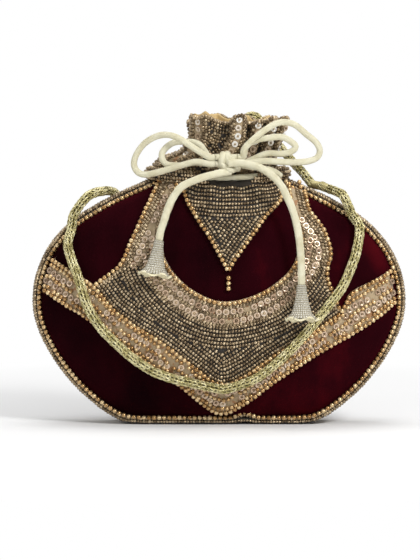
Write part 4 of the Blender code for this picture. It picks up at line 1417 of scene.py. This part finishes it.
laySeeds("panelSeeds", rowKinds["seeds"], 3)
laySeeds("panelCrossSeeds", rowKinds["cross"], 5, **crossSize)
layGold("panelGold", rowKinds["gold"] + [dropRow], 7, "bead_drop")
layGold("bandGold", rowKinds["bandGold"], 8, missing=0.10, sideways=0.0006, length=0.0027, width=0.0028, spacing=0.0030)
laySequins("panelSequins", rowKinds["sequins"], 9, sequinMetal, missing=0.05)
laySequins("bandSequins", rowKinds["bandSequins"], 10, sequinMetal, missing=0.22, sideways=0.0006)
print("panels beaded")


# Border: ground strip, a gold row where it meets the velvet on each face, and crosswise strings of seeds
borderProfile = [(1.00, -0.88), (0.60, -1.00), (0.22, -0.93), (0.00, -0.70), (0.00, 0.70), (0.22, 0.93), (0.60, 1.00),
                 (1.00, 0.88)]
borderBeads = {"string": 0.0019, "sunk": 0.0007, "ground": 0.0012, "goldDepth": 0.84, "pinchX": 0.0165, "pinchHalf": 0.0052,
               "pinchRise": 0.0036, "lowest": 0.0009, "neckEnd": (0.0400, 0.1622)}


def borderPlace(point, normal, depthShare, sideShare, sunk):
    place = point - normal * (bag["border"] * depthShare + sunk * (1 - depthShare))
    half = max(readGrid(borderGrid, max(point.y, 0.0)) - sunk, 0.001)
    return Vector((place.x, sideShare * half, max(place.y, 0.0)))


def pinch(x):
    # The seam is drawn up a little at one place of its foot
    return borderBeads["pinchRise"] * math.exp(-((x - borderBeads["pinchX"]) / borderBeads["pinchHalf"]) ** 2)


def makeBorder():
    # The strip runs on past the shoulders into the gathered neck
    rising = [outerEdge[-1].lerp(Vector(borderBeads["neckEnd"]), step / 3) for step in (1, 2, 3)]
    edge = outerEdge + rising
    stations = [(point, edgeNormal(edge, index)) for index, point in enumerate(edge)]
    mirrored = [(Vector((-point.x, point.y)), Vector((-normal.x, normal.y))) for point, normal in reversed(stations)]
    rings = []
    for point, normal in mirrored + stations:
        ring = [borderPlace(point, normal, depth, side, borderBeads["ground"]) for depth, side in borderProfile]
        for place in ring:
            place.z = max(place.z, 0.0006)
        rings.append(ring)
    form = bmesh.new()
    made = [[form.verts.new(place) for place in ring] for ring in rings]
    for low, high in zip(made, made[1:]):
        for index in range(len(borderProfile)):
            after = (index + 1) % len(borderProfile)
            form.faces.new((low[index], low[after], high[after], high[index]))
    form.faces.new(list(reversed(made[0])))
    form.faces.new(made[-1])
    dress(formObject("borderGround", form), "seed_beads", "beaded_border").data.materials.append(darkGround)
    fine = evenStep([point for point, normal in mirrored + stations], borderBeads["string"])
    goldRows = {-1: [], 1: []}
    strings = {-1: [], 1: []}
    for index, point in enumerate(fine):
        along = (fine[min(index + 1, len(fine) - 1)] - fine[max(index - 1, 0)]).normalized()
        normal = Vector((along.y, -along.x))
        outward = Vector((normal.x, 0.0, normal.y))
        onFloor = point.y < 0.0012
        for face in (-1, 1):
            facing = (outward * -0.25 + Vector((0.0, face, 0.0))).normalized()
            place = borderPlace(point, normal, borderBeads["goldDepth"], face * 0.97, 0.0002)
            place.z = max(place.z, 0.0022) + (pinch(point.x) if face < 0 and point.y < 0.01 else 0.0)
            goldRows[face].append((place, facing))
            string = []
            for depth, side in ((0.66, 1.0), (0.22, 0.93)) if onFloor else ((0.66, 1.0), (0.22, 0.93), (0.0, 0.70), (0.0, 0.0)):
                facing = (outward * (1 - depth) * 1.2 + Vector((0.0, face * side * (0.35 + depth), 0.0))).normalized()
                place = borderPlace(point, normal, depth, face * side, borderBeads["sunk"])
                place.z = max(place.z, borderBeads["lowest"]) + (pinch(point.x) * depth if face < 0 and onFloor else 0.0)
                string.append((place, facing))
            strings[1 if point.x > 0 else -1].append(string)
    layGold("borderGold", list(goldRows.values()), 13)
    laySeeds("borderSeedsLeft", strings[-1], 17, uneven=0.14, tilt=0.3)
    laySeeds("borderSeedsRight", strings[1], 18, uneven=0.14, tilt=0.3)


makeBorder()
print("border beaded")


# Frill: pleated wall and lining, with strips of sequins, ropes of seeds and tissue in turn
def frillSkin(low, rimDrop, rowCount, columns, lift=None):
    rows = []
    for row in range(rowCount + 1):
        line = []
        for column in range(columns):
            angle = fullTurn * column / columns
            top = frill["height"] * pleatLift(angle)[1] - rimDrop + (lift(angle) if lift else 0.0)
            line.append(frillPoint(angle, low + (top - low) * row / rowCount))
        rows.append(line)
    return rows


def insetRows(rows, inset):
    moved = []
    for rowIndex, row in enumerate(rows):
        below, above = rows[max(rowIndex - 1, 0)], rows[min(rowIndex + 1, len(rows) - 1)]
        line = []
        for index, point in enumerate(row):
            along = row[(index + 1) % len(row)] - row[index - 1]
            normal = along.cross(above[index] - below[index]).normalized()
            line.append(point - normal * inset)
        moved.append(line)
    return moved


def frillNormal(angle, height):
    along = frillPoint(angle + 0.02, height) - frillPoint(angle - 0.02, height)
    up = frillPoint(angle, height + 0.001) - frillPoint(angle, height - 0.001)
    return along.cross(up).normalized()


frillTrim = {"ground": 0.0012, "sunk": 0.0007, "clothWall": 0.0006, "sequinHalf": 0.0026, "rope": 0.0020, "string": 0.0020,
             "liningCrest": (232, 16, 0.0026), "foot": 0.0010}

def riser(angle, start, end, sunk):
    row = []
    for step in range(25):
        height = start + (end - start) * step / 24
        normal = frillNormal(angle, height)
        row.append((frillPoint(angle, height) - normal * sunk, normal))
    return row


def makeFrill():
    wall = addMesh("frillGround", gridMesh(insetRows(frillSkin(bag["gap"], 0.0, 30, 240), frillTrim["ground"]), True),
                   yokeCloth)
    # painted shade: the frill's ground turns near-black away from the pleats' crests, in the valleys
    share = wall.data.attributes.new("tissueShare", "FLOAT", "POINT")
    share.data.foreach_set("value", [value for row in range(31) for value in unshadedShare])
    dress(addWall(wall, frillTrim["clothWall"]), "tissue", "neck_frill")
    centre, spread, rise = frillTrim["liningCrest"]
    facing = insetRows(frillSkin(0.0130, -0.0006, 24, 240, lambda angle: rise * math.exp(
        -((math.degrees(angle) - centre) / spread) ** 2)), frill["wall"] + 0.0008)
    lining = dress(addWall(addMesh("frillLining", gridMesh(facing, True), creamLining), 0.0008), "lining", "frill_lining")


# Where the strips run: the pleats' crests carry sequins, a rope of seeds on each side, tissue in between
turns = [fullTurn * column / 240 for column in range(240)]
halfWay = [frillPoint(angle, 0.026) for angle in turns]
arcs = [0.0]
for first, second in zip(halfWay, halfWay[1:] + halfWay[:1]):
    arcs.append(arcs[-1] + (second - first).length)


def turnAt(arc):
    place = bisect.bisect_right(arcs, arc % arcs[-1]) - 1
    span = arcs[place + 1] - arcs[place]
    return (place + (arc % arcs[-1] - arcs[place]) / span) * fullTurn / 240


def arcOf(degrees):
    return arcs[int(degrees / 360 * 240) % 240]


def arcAway(first, second):
    away = abs(first - second) % arcs[-1]
    return min(away, arcs[-1] - away)


crests = [arcOf(direction) for direction, halfAngle, reach, height in frillPleats]
# 1 near the pleats' crests, 0 deep in the valleys, where the frill's ground is painted shade
unshadedShare = [1 - smoothStep(0.0052, 0.0080, min(arcAway(arcs[column], crest) for crest in crests))
               for column in range(240)]
makeFrill()
ropes, strings, sequinRows = [], [], []
columnCount = int(arcs[-1] / frillTrim["string"])
for column in range(columnCount):
    arc = arcs[-1] * column / columnCount
    away = min(arcAway(arc, crest) for crest in crests)
    angle = turnAt(arc)
    top = frill["height"] * pleatLift(angle)[1]
    if away > frillTrim["sequinHalf"] + 2 * frillTrim["rope"]:
        strings.append(riser(angle, frillTrim["foot"], top, frillTrim["sunk"]))
    elif away > frillTrim["sequinHalf"]:
        ropes.append(riser(angle, frillTrim["foot"], top, frillTrim["sunk"]))
    else:
        strings.append(riser(angle, frillTrim["foot"], 0.011, frillTrim["sunk"]))
for crest in crests:
    angle = turnAt(crest)
    top = frill["height"] * pleatLift(angle)[1]
    sequinRows.append(riser(angle, 0.0150, top - 0.0026, 0.0006))
rim = []
for angle in turns + turns[:1]:
    top = frill["height"] * pleatLift(angle)[1]
    normal = frillNormal(angle, top - 0.001)
    rim.append((frillPoint(angle, top) - normal * 0.0006, (normal + Vector((0.0, 0.0, 0.6))).normalized()))
laySeeds("frillSeeds", strings, 19, uneven=0.16, tilt=0.35, missing=0.08, sideways=0.0004)
laySeeds("frillRopes", ropes, 20, uneven=0.14, tilt=0.4, length=0.0021, width=0.0023, height=0.0022, spacing=0.0023)
laySeeds("frillRimSeeds", [rim], 21, **dict(crossSize, length=0.0030, width=0.0020, height=0.0020, spacing=0.0021))
laySequins("frillSequins", sequinRows, 23, paleSequins, missing=0.10, sideways=0.0004)
print("frill ready")

# Casing: the beaded cloth that covers the neck ring, open in the front where the cord shows
casing = {"radius": 0.0030, "wall": 0.0006, "from": -105, "to": 105, "openAt": 282, "openHalf": 25, "slant": 6, "rows": 6}


def casingRow(turn, count, lift):
    phi = math.radians(turn)
    start = casing["openAt"] + casing["openHalf"] + casing["slant"] * math.sin(phi)
    end = casing["openAt"] + 360 - casing["openHalf"] - casing["slant"] * math.sin(phi)
    row = []
    for step in range(count + 1):
        angle = math.radians(start + (end - start) * step / count)
        facing = neckOutward(angle, drawstring["saddleSide"]) * math.cos(phi) + Vector((0.0, 0.0, math.sin(phi)))
        row.append((ringPlace(angle) + facing * (casing["radius"] + lift), facing))
    return row


casingTurns = [casing["from"] + (casing["to"] - casing["from"]) * step / 12 for step in range(13)]
casingCloth = gridMesh([[place for place, facing in casingRow(turn, 150, 0.0)] for turn in casingTurns])
ringLength = lineLengths([place for place, facing in casingRow(0, 150, 0.0)])[-1]
ground = addWall(addMesh("neckCasing", casingCloth, yokeCloth), casing["wall"])
dress(ground, "tissue")
casingStep = (casing["to"] - casing["from"] - 30) / (casing["rows"] - 1)
laySeeds("casingSeeds", [casingRow(casing["from"] + 15 + casingStep * row, 150, 0.0007)
                         for row in range(casing["rows"])], 29, uneven=0.14, tilt=0.35, missing=0.04)
print("casing ready")

for template in (seedForm, beadForm, sequinForm, stitchForm):
    bpy.data.objects.remove(template, do_unlink=True)
